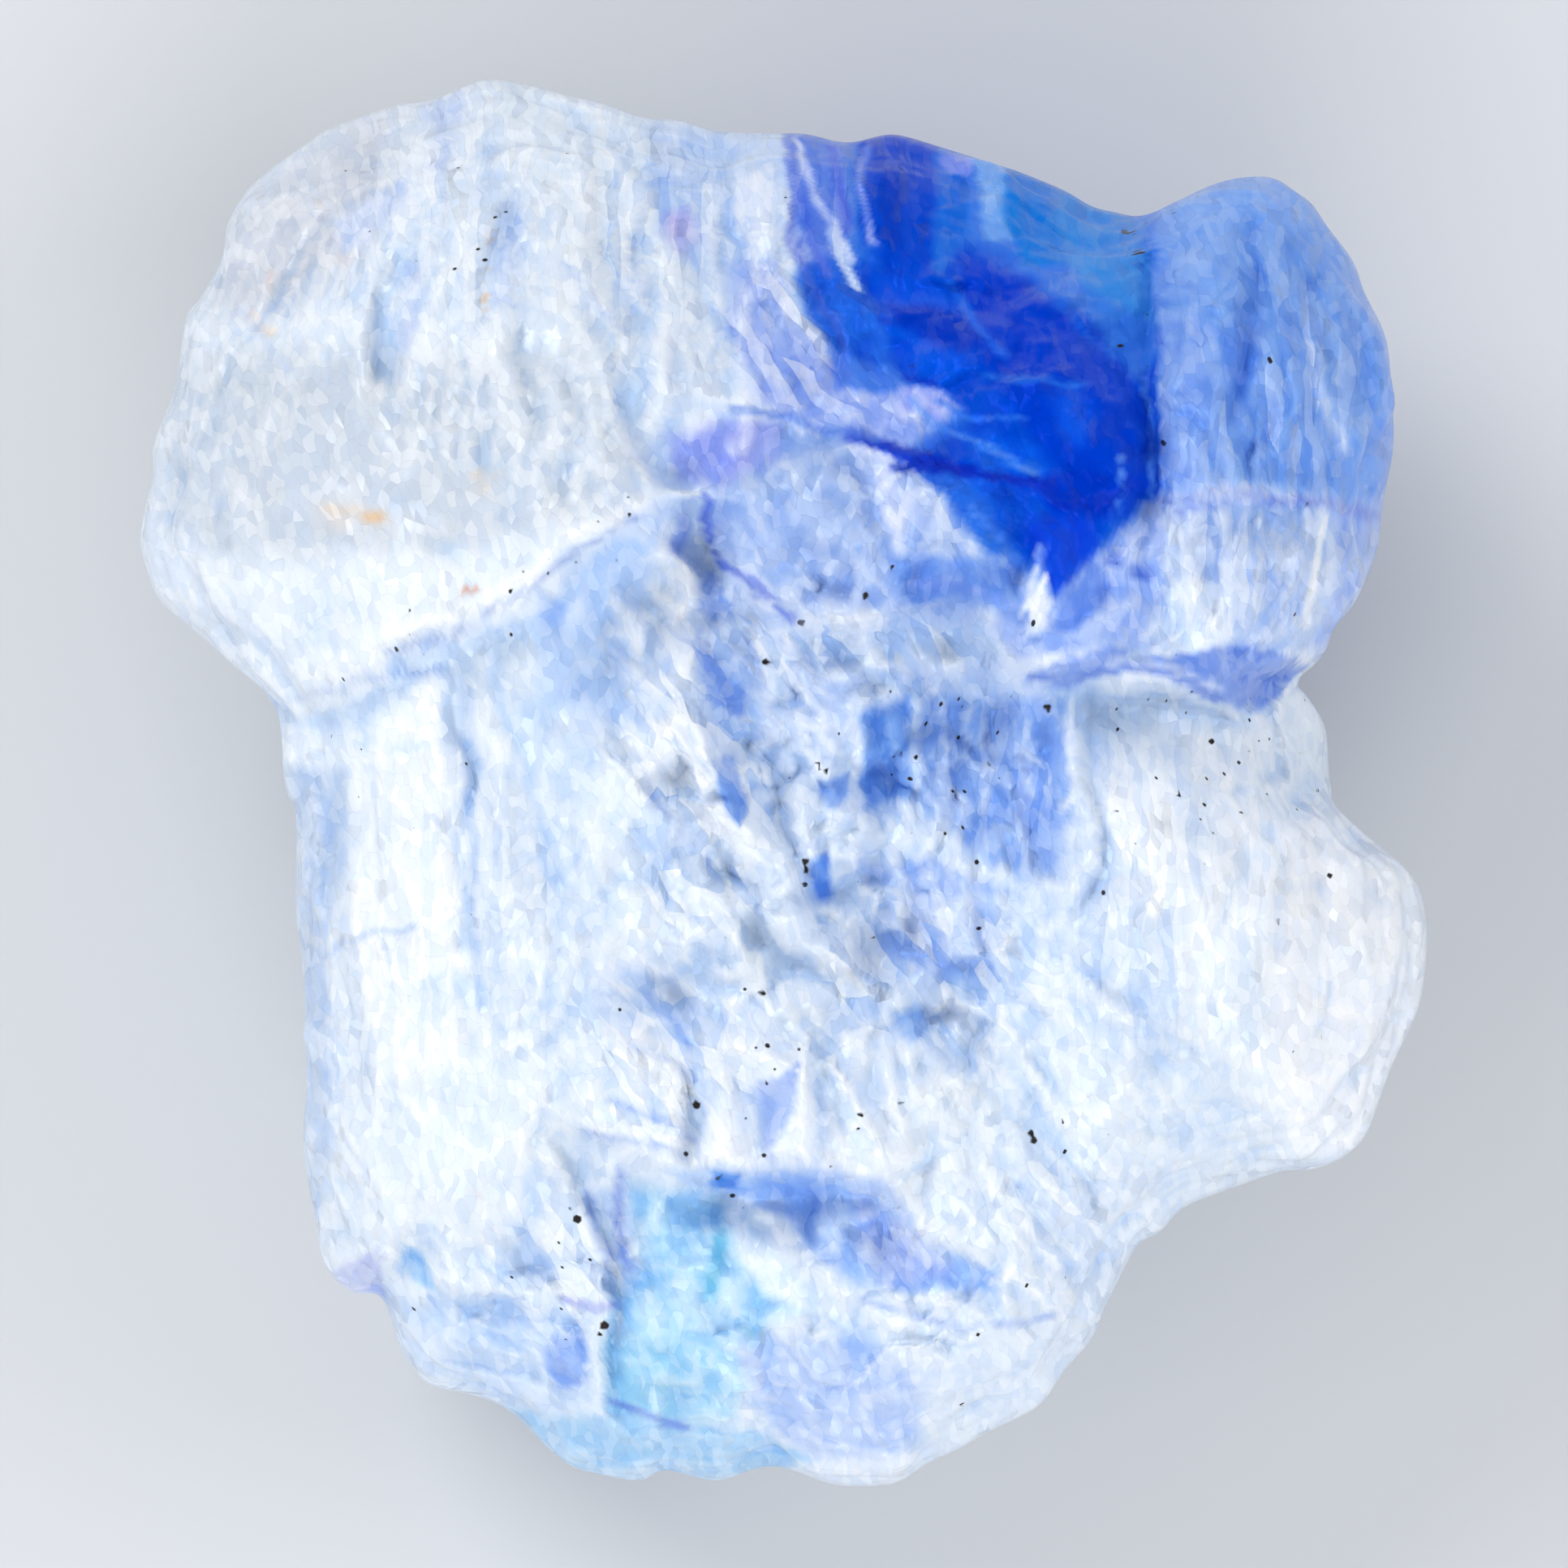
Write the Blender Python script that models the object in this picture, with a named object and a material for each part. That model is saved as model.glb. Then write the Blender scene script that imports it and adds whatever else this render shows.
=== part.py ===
"""Rough blue halite: one broken piece of rock salt that lies on a small flat of its back.

X is to the right and Y up in the plan of the stone, seen from above, and +Z points up from the ground.
The origin is on the ground, under the middle of the stone. Lengths are in millimetres until the mesh is
written, which is in metres.

The stone starts as an icosphere. Its points are moved to an outline, a swollen front with lumps, hollows,
ledges, seams and broken plates, and a back of flat breaks. Small cleavage steps then roughen the sides and
the back, most of the faces are thinned out, and the ground level cuts the flat.
"""

import itertools

import bmesh
import bpy
import numpy as np

MM = 0.001

# Driving dimensions
WIDTH = 39.5
FRONT_RISE = 10.6
RIM_HEIGHT = 9.4
BACK_DROP = 10.2
NODE_NAME = "halite"

# How the form is sampled: the sphere's subdivisions, and the share of its faces that is kept
SPHERE_LEVEL = 8
KEPT_FACES = 0.0285

# Fullness of the front and the back: 2 is round, and more is squarer at the rim
FRONT_FULLNESS = 2.5
BACK_FULLNESS = 2.4

# The outline's small bumps die out from the outer to the inner of these shares of its radius, and are
# averaged over this many radians each way inside
BUMPS_FROM, BUMPS_TO = 0.99, 0.72
BUMPS_HALF_TURN = 0.16

# How suddenly one broken plate gives way to the next
PLATE_SHARPNESS = 26

# Wander of the front's lines, as distance and size of its waves
WANDERS = [(0.40, 2.3), (0.16, 0.9)]

# Steps that roughen the sides and the back, as height and size of the blocks, and the softer bumps on them
STEPS = [(0.40, 3.6), (0.20, 1.7)]
BUMPS = (0.35, 3.2)

# Outline of the stone from above, clockwise from the top of the left dome
OUTLINE = [
    (-8.9, 21.7), (-7.8, 21.5), (-6.7, 21.2), (-5.4, 20.9), (-4.4, 20.5), (-3.0, 20.4), (-2.2, 20.1),
    (-0.4, 20.0), (0.7, 20.0), (2.0, 19.7), (3.3, 20.0), (4.5, 19.7), (5.8, 19.3), (7.1, 18.9),
    (8.1, 18.5), (8.8, 18.2), (9.6, 17.7), (10.3, 17.6), (11.0, 17.4), (12.1, 17.9), (13.3, 18.5),
    (14.6, 18.7), (15.3, 18.6), (15.7, 18.2), (16.3, 17.9), (16.6, 17.3), (17.6, 16.0), (17.8, 15.2),
    (18.3, 14.3), (18.6, 13.5), (18.7, 12.2), (18.8, 10.7), (18.7, 9.7), (18.5, 8.9), (18.3, 7.2),
    (18.0, 6.4), (17.6, 5.5), (17.0, 5.1), (16.8, 4.3), (16.3, 3.9), (15.8, 3.6), (15.8, 2.9),
    (16.3, 2.4), (16.7, 1.7), (16.8, 0.4), (16.9, -0.6), (17.1, -0.9), (18.6, -2.2), (19.2, -2.7),
    (19.6, -3.2), (19.8, -4.3), (19.8, -5.3), (19.7, -6.2), (19.5, -7.1), (18.7, -8.8), (18.1, -10.5),
    (17.8, -11.1), (17.3, -11.5), (16.8, -11.8), (15.6, -11.9), (14.1, -12.4), (12.3, -13.1),
    (11.6, -13.9), (11.0, -14.1), (10.7, -14.6), (9.8, -16.4), (9.7, -16.8), (9.4, -17.3),
    (8.5, -18.3), (8.2, -18.9), (7.6, -19.4), (6.1, -20.1), (5.7, -20.4), (4.2, -21.1), (3.6, -21.6),
    (2.1, -21.7), (1.3, -21.6), (0.3, -21.2), (-0.6, -21.1), (-1.8, -21.5), (-2.4, -21.5),
    (-3.7, -21.2), (-4.2, -21.5), (-4.9, -21.5), (-5.9, -21.3), (-6.7, -21.0), (-7.8, -20.0),
    (-8.3, -19.5), (-9.3, -19.0), (-10.9, -18.6), (-11.4, -18.1), (-11.8, -17.5), (-12.4, -15.9),
    (-13.2, -15.8), (-13.8, -15.4), (-14.2, -14.8), (-14.5, -13.2), (-14.7, -12.1), (-14.8, -10.8),
    (-14.7, -9.1), (-14.8, -5.8), (-15.0, -4.1), (-15.0, -1.0), (-15.3, -0.3), (-15.4, 0.9),
    (-15.5, 1.9), (-15.8, 2.6), (-16.2, 3.1), (-16.9, 3.6), (-18.0, 4.6), (-19.2, 5.6), (-19.7, 6.9),
    (-19.8, 7.7), (-19.6, 8.7), (-19.4, 9.4), (-19.4, 10.4), (-18.9, 11.7), (-18.7, 12.4),
    (-18.4, 14.4), (-18.0, 14.9), (-17.3, 16.2), (-17.1, 17.3), (-16.3, 18.5), (-14.7, 19.7),
    (-13.9, 20.2), (-11.9, 20.9), (-10.9, 21.0), (-10.2, 21.3), (-9.5, 21.6),
]

# Lumps of the front: centre x and y, half width, half length, turn in degrees, and rise
LUMPS = {
    "upper_left_dome": (-12.2, 10.6, 10.2, 9.6, 0, 2.9),
    "top_shoulder": (-4.2, 15.6, 6.5, 6.4, 0, 1.0),
    "blue_mass": (6.6, 12.4, 7.2, 8.2, -18, 1.9),
    "right_lobe": (15.6, 10.2, 4.9, 8.6, 0, 2.4),
    "middle_knob": (2.2, 7.6, 5.0, 3.4, 0, 1.2),
    "lens": (12.4, 5.0, 6.0, 2.6, 0, 0.8),
    "left_column": (-11.4, -5.6, 4.2, 13.6, 2, 2.2),
    "left_flank": (-6.6, -5.6, 3.4, 10.0, 6, 1.3),
    "right_column": (11.8, -4.6, 4.6, 9.4, -4, 2.4),
    "right_bulge": (17.4, -6.6, 4.6, 6.2, 0, 2.0),
    "tooth_ridge": (-0.4, -9.6, 6.4, 3.4, 0, 1.9),
    "belly": (-0.6, -18.6, 7.8, 5.0, 0, 1.3),
    "lower_right_slope": (7.2, -13.4, 5.6, 6.4, -30, 1.3),
    "left_foot": (-9.6, -17.2, 3.8, 3.0, 0, 1.1),
}

# Hollows of the front, in the same order, with the depth last
HOLLOWS = {
    "centre_valley": (3.2, -0.6, 6.6, 8.4, 8, 3.1),
    "valley_floor": (4.2, 1.2, 3.2, 4.8, 0, 0.9),
    "lobe_notch": (11.2, 15.2, 2.0, 5.0, 0, 0.9),
    "left_armpit": (-5.8, 4.6, 3.2, 3.0, -40, 0.5),
}

# Ledges: the line of the edge, the drop (on its right hand going along it, or on its left if negative),
# the width of the cliff, and how far from the edge the ground has risen again
LEDGES = {
    "brow": (
        [(-4.8, 8.1), (-6.2, 7.2), (-7.7, 6.0), (-9.2, 5.1), (-11.2, 4.2), (-13.4, 3.2), (-16.6, 2.4)],
        -1.4, 0.8, 6.0,
    ),
    "middle": (
        [(-2.3, 7.7), (-1.9, 6.6), (-0.9, 5.9), (0.5, 5.1), (2.1, 5.0), (3.6, 5.4), (5.3, 5.5),
         (6.4, 4.8), (6.9, 3.6), (8.1, 3.6), (9.3, 3.9), (10.8, 3.4), (12.1, 3.0), (13.8, 2.7), (15.1, 3.0),
         (17.0, 3.7)],
        1.7, 0.6, 7.0,
    ),
    "white_ridge": (
        [(-6.4, 14.0), (-5.6, 12.2), (-4.6, 10.6), (-3.2, 9.2)],
        -0.7, 0.5, 4.0,
    ),
    "teeth": (
        [(-3.9, -11.9), (-2.7, -11.6), (-0.2, -11.6), (1.1, -11.5), (2.3, -11.5), (3.3, -12.0),
         (4.2, -13.1), (5.0, -14.6)],
        1.1, 0.6, 4.6,
    ),
    "belly_side": (
        [(-6.9, -11.4), (-6.3, -12.8), (-5.7, -14.4), (-5.4, -16.0), (-5.5, -17.5), (-5.5, -19.2)],
        -0.9, 0.4, 3.0,
    ),
    "foot_top": (
        [(-14.2, -15.9), (-12.4, -15.8), (-10.9, -15.6), (-9.2, -15.7), (-7.7, -15.8), (-6.2, -16.1)],
        0.7, 0.6, 2.4,
    ),
    "lobe_crack": (
        [(11.4, 8.6), (12.1, 8.9), (13.3, 8.9), (14.6, 8.7), (15.8, 8.6), (17.1, 8.4), (18.6, 8.2)],
        0.5, 0.3, 2.4,
    ),
    "column_step": (
        [(9.2, 3.0), (9.1, 1.0), (9.0, -1.2), (8.7, -3.2)],
        -1.1, 0.5, 3.4,
    ),
    "flake_stair": (
        [(-3.6, 8.4), (-3.3, 5.6), (-2.6, 2.8), (-1.8, 0.2), (-0.6, -2.4), (0.8, -4.6), (2.4, -6.4)],
        -0.9, 0.7, 3.0,
    ),
    "blue_shelf": (
        [(2.2, 10.6), (4.2, 9.8), (6.4, 9.0), (8.6, 8.8), (10.8, 9.4)],
        0.5, 0.5, 3.0,
    ),
}

# Grooves: the line, the depth and the half width
GROOVES = {
    "lobe_seam": ([(10.9, 18.6), (11.1, 16.0), (11.3, 14.2), (11.3, 12.2), (11.5, 8.6)], 1.2, 1.5),
    "left_groove": ([(-9.8, 3.4), (-9.7, 1.0), (-9.7, -1.2), (-9.5, -3.4), (-9.4, -5.2)], 0.6, 0.8),
    "top_groove_left": ([(-11.7, 16.4), (-11.7, 14.6), (-11.8, 12.6)], 0.7, 0.7),
    "top_groove_blue": ([(-8.2, 17.8), (-8.6, 16.0), (-8.7, 14.2)], 0.8, 0.7),
    "top_groove_right": ([(-5.9, 20.6), (-5.7, 18.0), (-4.9, 15.6), (-4.8, 14.0)], 0.7, 0.7),
    "lobe_groove": ([(14.0, 16.6), (14.2, 14.0), (13.9, 11.4)], 0.6, 0.8),
    "lower_scratch": ([(6.9, -12.2), (7.8, -13.8), (8.5, -15.0)], 0.5, 0.6),
}

# Cleavage spikes above the teeth ledge: tip x and y, foot x and y, half width of the foot, and rise
TEETH = [
    (-3.3, -8.2, -3.4, -11.6, 0.8, 0.8),
    (-1.8, -8.6, -1.8, -11.6, 0.9, 1.0),
    (0.8, -7.6, 0.4, -11.5, 1.2, 1.1),
    (1.4, -8.2, 3.2, -11.7, 1.0, 0.9),
]

# Crackled ground: centre x and y, half width, half length, turn of the area, then the width and length
# of its plates, their turn, and how far they stand up or lie deep
CRACKLES = {
    "valley": (3.0, -1.6, 7.0, 9.0, 10, 1.7, 2.8, 12, 0.75),
    "flakes": (-1.8, 1.6, 3.4, 7.5, 18, 1.5, 2.6, 38, 0.6),
    "top": (-5.6, 15.2, 8.0, 6.4, 0, 1.1, 4.6, 2, 0.42),
    "blue": (6.4, 10.4, 7.0, 6.6, -20, 1.9, 2.6, -30, 0.5),
    "lobe": (14.8, 9.8, 4.6, 7.6, 0, 1.4, 3.4, 8, 0.42),
    "belly": (-1.0, -16.6, 8.4, 5.0, 0, 2.4, 2.8, 25, 0.6),
    "slope": (7.4, -11.4, 6.0, 6.6, -30, 1.8, 4.0, 35, 0.4),
    "flank": (-5.6, -6.0, 4.6, 8.4, 0, 2.6, 4.4, -10, 0.35),
    "foot": (-9.8, -16.8, 4.6, 3.6, 0, 1.5, 2.0, 0, 0.4),
}

# Flat breaks of the back: the way they rise in degrees from +X, their rise over a millimetre, and their
# depth under the rim in the middle of the stone
BREAKS = [
    (180, 0.95, 18.4),
    (118, 0.76, 19.0),
    (52, 0.85, 19.6),
    (4, 1.00, 20.6),
    (-58, 0.88, 19.2),
    (-112, 0.92, 20.4),
    (150, 0.30, 11.3),
    (-24, 0.32, 11.5),
    (-78, 0.42, 12.4),
]

# Broken plates of the back: width, length, turn in degrees, and how far they stand out
BACK_PLATES = (5.2, 6.8, 20, 0.9)

# The back never comes closer than this to the rim's level
BACK_CLEARANCE = 0.25


def random_at(cells, seed):
    """A repeatable number from 0 to 1 for each whole-numbered cell."""
    keys = cells.astype(np.int64).astype(np.uint64)
    mixed = np.full(len(keys), seed * 2654435761 + 97, np.uint64)
    for axis in range(keys.shape[1]):
        mixed = (mixed ^ keys[:, axis]) * np.uint64(6364136223846793005) + np.uint64(1442695040888963407)
        mixed ^= mixed >> np.uint64(29)
    return ((mixed >> np.uint64(20)) & np.uint64(0xFFFFF)).astype(float) / 0xFFFFF


def noise(points, seed=0):
    """Smooth noise from -1 to 1, at points in two or three dimensions."""
    cells = np.floor(points)
    part = points - cells
    part = part * part * (3 - 2 * part)
    total = np.zeros(len(points))
    for corner in itertools.product((0, 1), repeat=points.shape[1]):
        weight = np.prod(np.where(corner, part, 1 - part), axis=1)
        total += weight * random_at(cells + corner, seed)
    return 2 * total - 1


def layered_noise(points, layers, seed=0):
    """Noise with finer and fainter layers added."""
    return sum(noise(points * 2.03**k, seed + k) / 2**k for k in range(layers))


def cleavage_blocks(points, seed):
    """Levels from -1 to 1 that are constant over box-shaped cells, as salt breaks along its cubes."""
    bent = points + 0.35 * np.stack([noise(points * 0.7, seed + k) for k in range(3)], axis=1)
    rows = np.floor(bent)
    bent[:, 0] += 0.5 * random_at(rows[:, 1:], seed + 11)
    return 2 * random_at(np.floor(bent), seed + 12) - 1


def smooth_step(low, high, values):
    part = np.clip((values - low) / (high - low), 0, 1)
    return part * part * (3 - 2 * part)


def outline_radius():
    """Angles round the stone and the outline's radius at each, by a smooth closed curve through OUTLINE."""
    corners = np.array(OUTLINE)
    corners *= WIDTH / np.ptp(corners[:, 0])
    before, after, beyond = (np.roll(corners, shift, axis=0) for shift in (1, -1, -2))
    curve = []
    for t in np.linspace(0, 1, 8, endpoint=False):
        curve.append(
            0.5 * (2 * corners + (after - before) * t
                   + (2 * before - 5 * corners + 4 * after - beyond) * t**2
                   + (3 * corners - before - 3 * after + beyond) * t**3)
        )
    curve = np.concatenate(curve)
    angles = np.arctan2(curve[:, 1], curve[:, 0])
    order = np.argsort(angles)
    return angles[order], np.hypot(*curve[order].T)


def softened(angles, radii, half_turn):
    """The outline's radius with its small bumps averaged out over half_turn radians each way."""
    offsets = np.linspace(-half_turn, half_turn, 25)
    return sum(np.interp(angles + o, angles, radii, period=2 * np.pi) for o in offsets) / len(offsets)


def oval_distance(x, y, centre_x, centre_y, half_width, half_length, turn):
    """0 in the middle of a turned oval, and 1 on its edge."""
    c, s = np.cos(np.radians(turn)), np.sin(np.radians(turn))
    across = (x - centre_x) * c + (y - centre_y) * s
    along = (y - centre_y) * c - (x - centre_x) * s
    return np.hypot(across / half_width, along / half_length)


def plates(x, y, width, length, turn, seed):
    """Levels and tilts, from about -1 to 1, of broken plates with a random middle each."""
    c, s = np.cos(np.radians(turn)), np.sin(np.radians(turn))
    u, v = (x * c + y * s) / width, (y * c - x * s) / length
    cell = np.floor(np.stack([u, v], axis=1))
    total, weights = np.zeros(len(x)), np.full(len(x), 1e-12)
    for corner in itertools.product((-1, 0, 1), repeat=2):
        near = cell + corner
        du = u - near[:, 0] - random_at(near, seed)
        dv = v - near[:, 1] - random_at(near, seed + 1)
        tilt_u, tilt_v, level = (2 * random_at(near, seed + k) - 1 for k in (2, 3, 4))
        weight = np.exp(-PLATE_SHARPNESS * (du * du + dv * dv))
        total += weight * (0.5 * level + 0.9 * tilt_u * du + 0.9 * tilt_v * dv)
        weights += weight
    return total / weights


def to_line(x, y, line):
    """Distance to a line of points, and on which side each place is: 1 on its right hand, -1 on its left."""
    best = np.full(x.shape, np.inf)
    side = np.ones(x.shape)
    for (ax, ay), (bx, by) in itertools.pairwise(line):
        ex, ey = bx - ax, by - ay
        t = np.clip(((x - ax) * ex + (y - ay) * ey) / (ex * ex + ey * ey), 0, 1)
        dx, dy = x - ax - t * ex, y - ay - t * ey
        distance = np.hypot(dx, dy)
        nearer = distance < best
        best = np.where(nearer, distance, best)
        side = np.where(nearer, np.sign(dx * ey - dy * ex), side)
    return best, side


def ends_fade(x, y, line, reach):
    """1 along the line, and 0 beyond its ends."""
    fade = np.ones(x.shape)
    for (ax, ay), (bx, by) in ((line[0], line[1]), (line[-1], line[-2])):
        ex, ey = bx - ax, by - ay
        past = -((x - ax) * ex + (y - ay) * ey) / np.hypot(ex, ey)
        near = 1 - smooth_step(2 * reach, 3 * reach, np.hypot(x - ax, y - ay))
        fade *= 1 - near * smooth_step(-0.4 * reach, 0.6 * reach, past)
    return fade


def ledge(x, y, line, drop, cliff, reach):
    """The ground falls off beside the line and rises again over the distance reach."""
    distance, side = to_line(x, y, line)
    side = side * np.sign(drop)
    fallen = np.where(side > 0, smooth_step(0, cliff, distance) * (1 - smooth_step(cliff, reach, distance)), 0)
    lip = 0.18 * (1 - smooth_step(0, np.where(side < 0, 0.35 * reach, cliff), distance))
    return abs(drop) * (lip - fallen) * ends_fade(x, y, line, 0.35 * reach)


def groove(x, y, line, depth, half_width):
    distance, _ = to_line(x, y, line)
    return -depth * np.clip(1 - distance / half_width, 0, 1) ** 1.3


def tooth(x, y, tip_x, tip_y, foot_x, foot_y, half_width, rise):
    """A pointed spike with a sharp crest from its foot to its tip."""
    ex, ey = tip_x - foot_x, tip_y - foot_y
    t = ((x - foot_x) * ex + (y - foot_y) * ey) / (ex * ex + ey * ey)
    across = abs((x - foot_x) * ey - (y - foot_y) * ex) / np.hypot(ex, ey)
    crest = 1 - across / (half_width * np.clip(1.05 - t, 0.05, 1.05))
    return np.where((t > -0.03) & (t < 1.05), rise * np.clip(crest, 0, 1), 0)


def front_relief(plan_x, plan_y):
    """Height of the front's lumps, hollows, ledges, grooves, teeth and plates over its swollen form."""
    plan = np.stack([plan_x, plan_y], axis=1)
    x = plan_x + sum(far * noise(plan / size, 71 + k) for k, (far, size) in enumerate(WANDERS))
    y = plan_y + sum(far * noise(plan / size, 73 + k) for k, (far, size) in enumerate(WANDERS))
    relief = 0.35 * layered_noise(plan / 3.6, 3, 75)
    for *oval, rise in LUMPS.values():
        relief += rise * np.clip(1 - oval_distance(x, y, *oval) ** 2, 0, 1)
    for *oval, depth in HOLLOWS.values():
        relief -= depth * (1 - smooth_step(0, 1.2, oval_distance(x, y, *oval)))
    for line, drop, cliff, reach in LEDGES.values():
        relief += ledge(x, y, line, drop, cliff, reach)
    for line, depth, half_width in GROOVES.values():
        relief += groove(x, y, line, depth, half_width)
    for values in TEETH:
        relief += tooth(plan_x, plan_y, *values)
    for number, (*oval, width, length, turn, height) in enumerate(CRACKLES.values()):
        share = 1 - smooth_step(0.75, 1.15, oval_distance(x, y, *oval))
        relief += height * share * plates(x, y, width, length, turn, 100 + 10 * number)
    return relief


def rim_level(x, y):
    """Height over the ground of the rim, where the front meets the back."""
    plan = np.stack([x, y], axis=1)
    return RIM_HEIGHT + 0.05 * x + 0.03 * y + 1.2 * noise(plan / 8.0, 5) + 0.5 * noise(plan / 3.1, 6)


def back_depth(x, y, rim):
    """Depth of the back under the rim: a bowl with flat breaks round it."""
    depth = -np.sqrt(1 - rim**BACK_FULLNESS) * BACK_DROP
    for turn, slope, middle in BREAKS:
        outward = x * np.cos(np.radians(turn)) + y * np.sin(np.radians(turn))
        depth = np.maximum(depth, slope * outward - middle)
    width, length, turn, height = BACK_PLATES
    off_flat = smooth_step(0.45, 0.6, rim) * (1 - smooth_step(0.88, 0.98, rim))
    depth += height * off_flat * plates(x, y, width, length, turn, 300)
    return np.minimum(depth, -BACK_CLEARANCE * smooth_step(0, 0.1, 1 - rim))


def stone_form(directions):
    """Points of the stone for directions from its middle."""
    x, y, z = directions.T
    rim = np.clip(np.hypot(x, y), 0, 1)
    turn = np.arctan2(y, x)
    angles, radii = outline_radius()
    sharp = np.interp(turn, angles, radii, period=2 * np.pi)
    soft = np.interp(turn, angles, softened(angles, radii, BUMPS_HALF_TURN), period=2 * np.pi)
    radius = soft + (sharp - soft) * smooth_step(BUMPS_TO, BUMPS_FROM, rim)
    px, py = rim * radius * np.cos(turn), rim * radius * np.sin(turn)
    front = np.sqrt(1 - rim**FRONT_FULLNESS) * FRONT_RISE + front_relief(px, py) * (1 - rim**9)
    height = np.where(z >= 0, front, back_depth(px, py, rim))
    return np.stack([px, py, rim_level(px, py) + height], axis=1)


def roughened(points, normals):
    """Moves the points along their normals by cleavage steps, on the sides and the back."""
    hidden = 1 - smooth_step(0.1, 0.8, normals[:, 2])
    steps = sum(high * cleavage_blocks(points / size, 3 + 14 * k) for k, (high, size) in enumerate(STEPS))
    soft = BUMPS[0] * layered_noise(points / BUMPS[1], 3, 31)
    off_rim = smooth_step(0.6, 3.4, abs(points[:, 2] - rim_level(*points[:, :2].T)))
    off_ground = smooth_step(0.3, 2.2, points[:, 2])
    return points + normals * ((steps + soft) * hidden * off_rim * off_ground)[:, None]


def vertex_values(mesh, kind):
    values = np.empty(len(mesh.vertices) * 3, np.float32)
    mesh.vertices.foreach_get(kind, values)
    return values.reshape(-1, 3).astype(float)


def set_points(mesh, points):
    mesh.vertices.foreach_set("co", points.astype(np.float32).ravel())
    mesh.update()


def centred(points):
    """The points moved so that the stone's middle is over the origin."""
    shift = (points.min(axis=0) + points.max(axis=0)) / 2
    return points - [shift[0], shift[1], 0]


def stone_mesh():
    """The whole stone in metres, before its faces are thinned out and its flat is cut."""
    mesh = bpy.data.meshes.new(NODE_NAME)
    shaper = bmesh.new()
    bmesh.ops.create_icosphere(shaper, subdivisions=SPHERE_LEVEL, radius=1)
    shaper.to_mesh(mesh)
    shaper.free()
    directions = vertex_values(mesh, "co")
    directions /= np.linalg.norm(directions, axis=1)[:, None]
    set_points(mesh, stone_form(directions))
    rough = roughened(vertex_values(mesh, "co"), vertex_values(mesh, "normal"))
    set_points(mesh, centred(rough) * MM)
    return mesh


def halite_material():
    """Milky blue-white salt."""
    material = bpy.data.materials.new("halite")
    material.use_nodes = True
    shader = material.node_tree.nodes["Principled BSDF"]
    shader.inputs["Base Color"].default_value = (0.66, 0.76, 0.93, 1)
    shader.inputs["Roughness"].default_value = 0.3
    shader.inputs["Metallic"].default_value = 0
    return material


def ground_block(collection):
    """The cutter under the ground level, which gives the stone its flat."""
    mesh = bpy.data.meshes.new("ground_block")
    shaper = bmesh.new()
    bmesh.ops.create_cube(shaper, size=1)
    bmesh.ops.scale(shaper, verts=shaper.verts, vec=(0.1, 0.1, 0.02))
    bmesh.ops.translate(shaper, verts=shaper.verts, vec=(0, 0, -0.01))
    shaper.to_mesh(mesh)
    shaper.free()
    block = bpy.data.objects.new("ground_block", mesh)
    block.hide_render = True
    block.display_type = "WIRE"
    collection.objects.link(block)
    return block


def new_collection(name):
    collection = bpy.data.collections.new(name)
    bpy.context.scene.collection.children.link(collection)
    return collection


def main():
    for obj in list(bpy.data.objects):
        bpy.data.objects.remove(obj)
    stone = bpy.data.objects.new(NODE_NAME, stone_mesh())
    stone.data.materials.append(halite_material())
    new_collection("rough_blue_halite").objects.link(stone)

    thin = stone.modifiers.new("fewer_faces", "DECIMATE")
    thin.ratio = KEPT_FACES
    cut = stone.modifiers.new("resting_flat", "BOOLEAN")
    cut.operation = "DIFFERENCE"
    cut.object = ground_block(new_collection("cutters"))


main()
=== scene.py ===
"""Looks of the rough blue halite: its fine broken surface, its colours, and the studio round it.

The stone is made here again, from the same outline, lumps, hollows, ledges and plates as the solid, with
many more faces and with the small ribs, plates and pits that the solid leaves out. It then stands for the
solid. Sizes are in millimetres until a mesh is written. The areas of colour are drawn in the photograph's
pixels, because that is where they are seen.
"""

import itertools

import bmesh
import bpy
import numpy as np
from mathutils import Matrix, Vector


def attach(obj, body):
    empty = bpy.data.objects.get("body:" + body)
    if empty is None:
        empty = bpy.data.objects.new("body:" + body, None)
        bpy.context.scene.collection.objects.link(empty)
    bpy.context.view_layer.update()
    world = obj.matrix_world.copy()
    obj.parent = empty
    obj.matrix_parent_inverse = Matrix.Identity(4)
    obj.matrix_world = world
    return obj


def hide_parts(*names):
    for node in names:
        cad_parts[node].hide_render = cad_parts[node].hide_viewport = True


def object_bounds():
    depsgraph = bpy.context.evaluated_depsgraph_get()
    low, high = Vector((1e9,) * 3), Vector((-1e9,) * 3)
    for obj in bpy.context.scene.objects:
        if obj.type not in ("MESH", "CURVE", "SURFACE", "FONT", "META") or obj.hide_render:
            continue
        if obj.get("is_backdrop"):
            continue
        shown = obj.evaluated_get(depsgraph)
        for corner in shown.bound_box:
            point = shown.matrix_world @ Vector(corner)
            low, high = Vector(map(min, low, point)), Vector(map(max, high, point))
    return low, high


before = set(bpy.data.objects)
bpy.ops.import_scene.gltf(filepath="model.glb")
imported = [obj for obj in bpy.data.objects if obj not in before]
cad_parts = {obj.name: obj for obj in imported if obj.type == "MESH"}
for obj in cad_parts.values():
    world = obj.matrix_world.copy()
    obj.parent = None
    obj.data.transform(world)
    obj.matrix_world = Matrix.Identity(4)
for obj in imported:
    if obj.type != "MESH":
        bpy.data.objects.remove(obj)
CAD_LOW, CAD_HIGH = (np.array(corner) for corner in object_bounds())

MM = 0.001
NODE_NAME = "halite"

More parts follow.
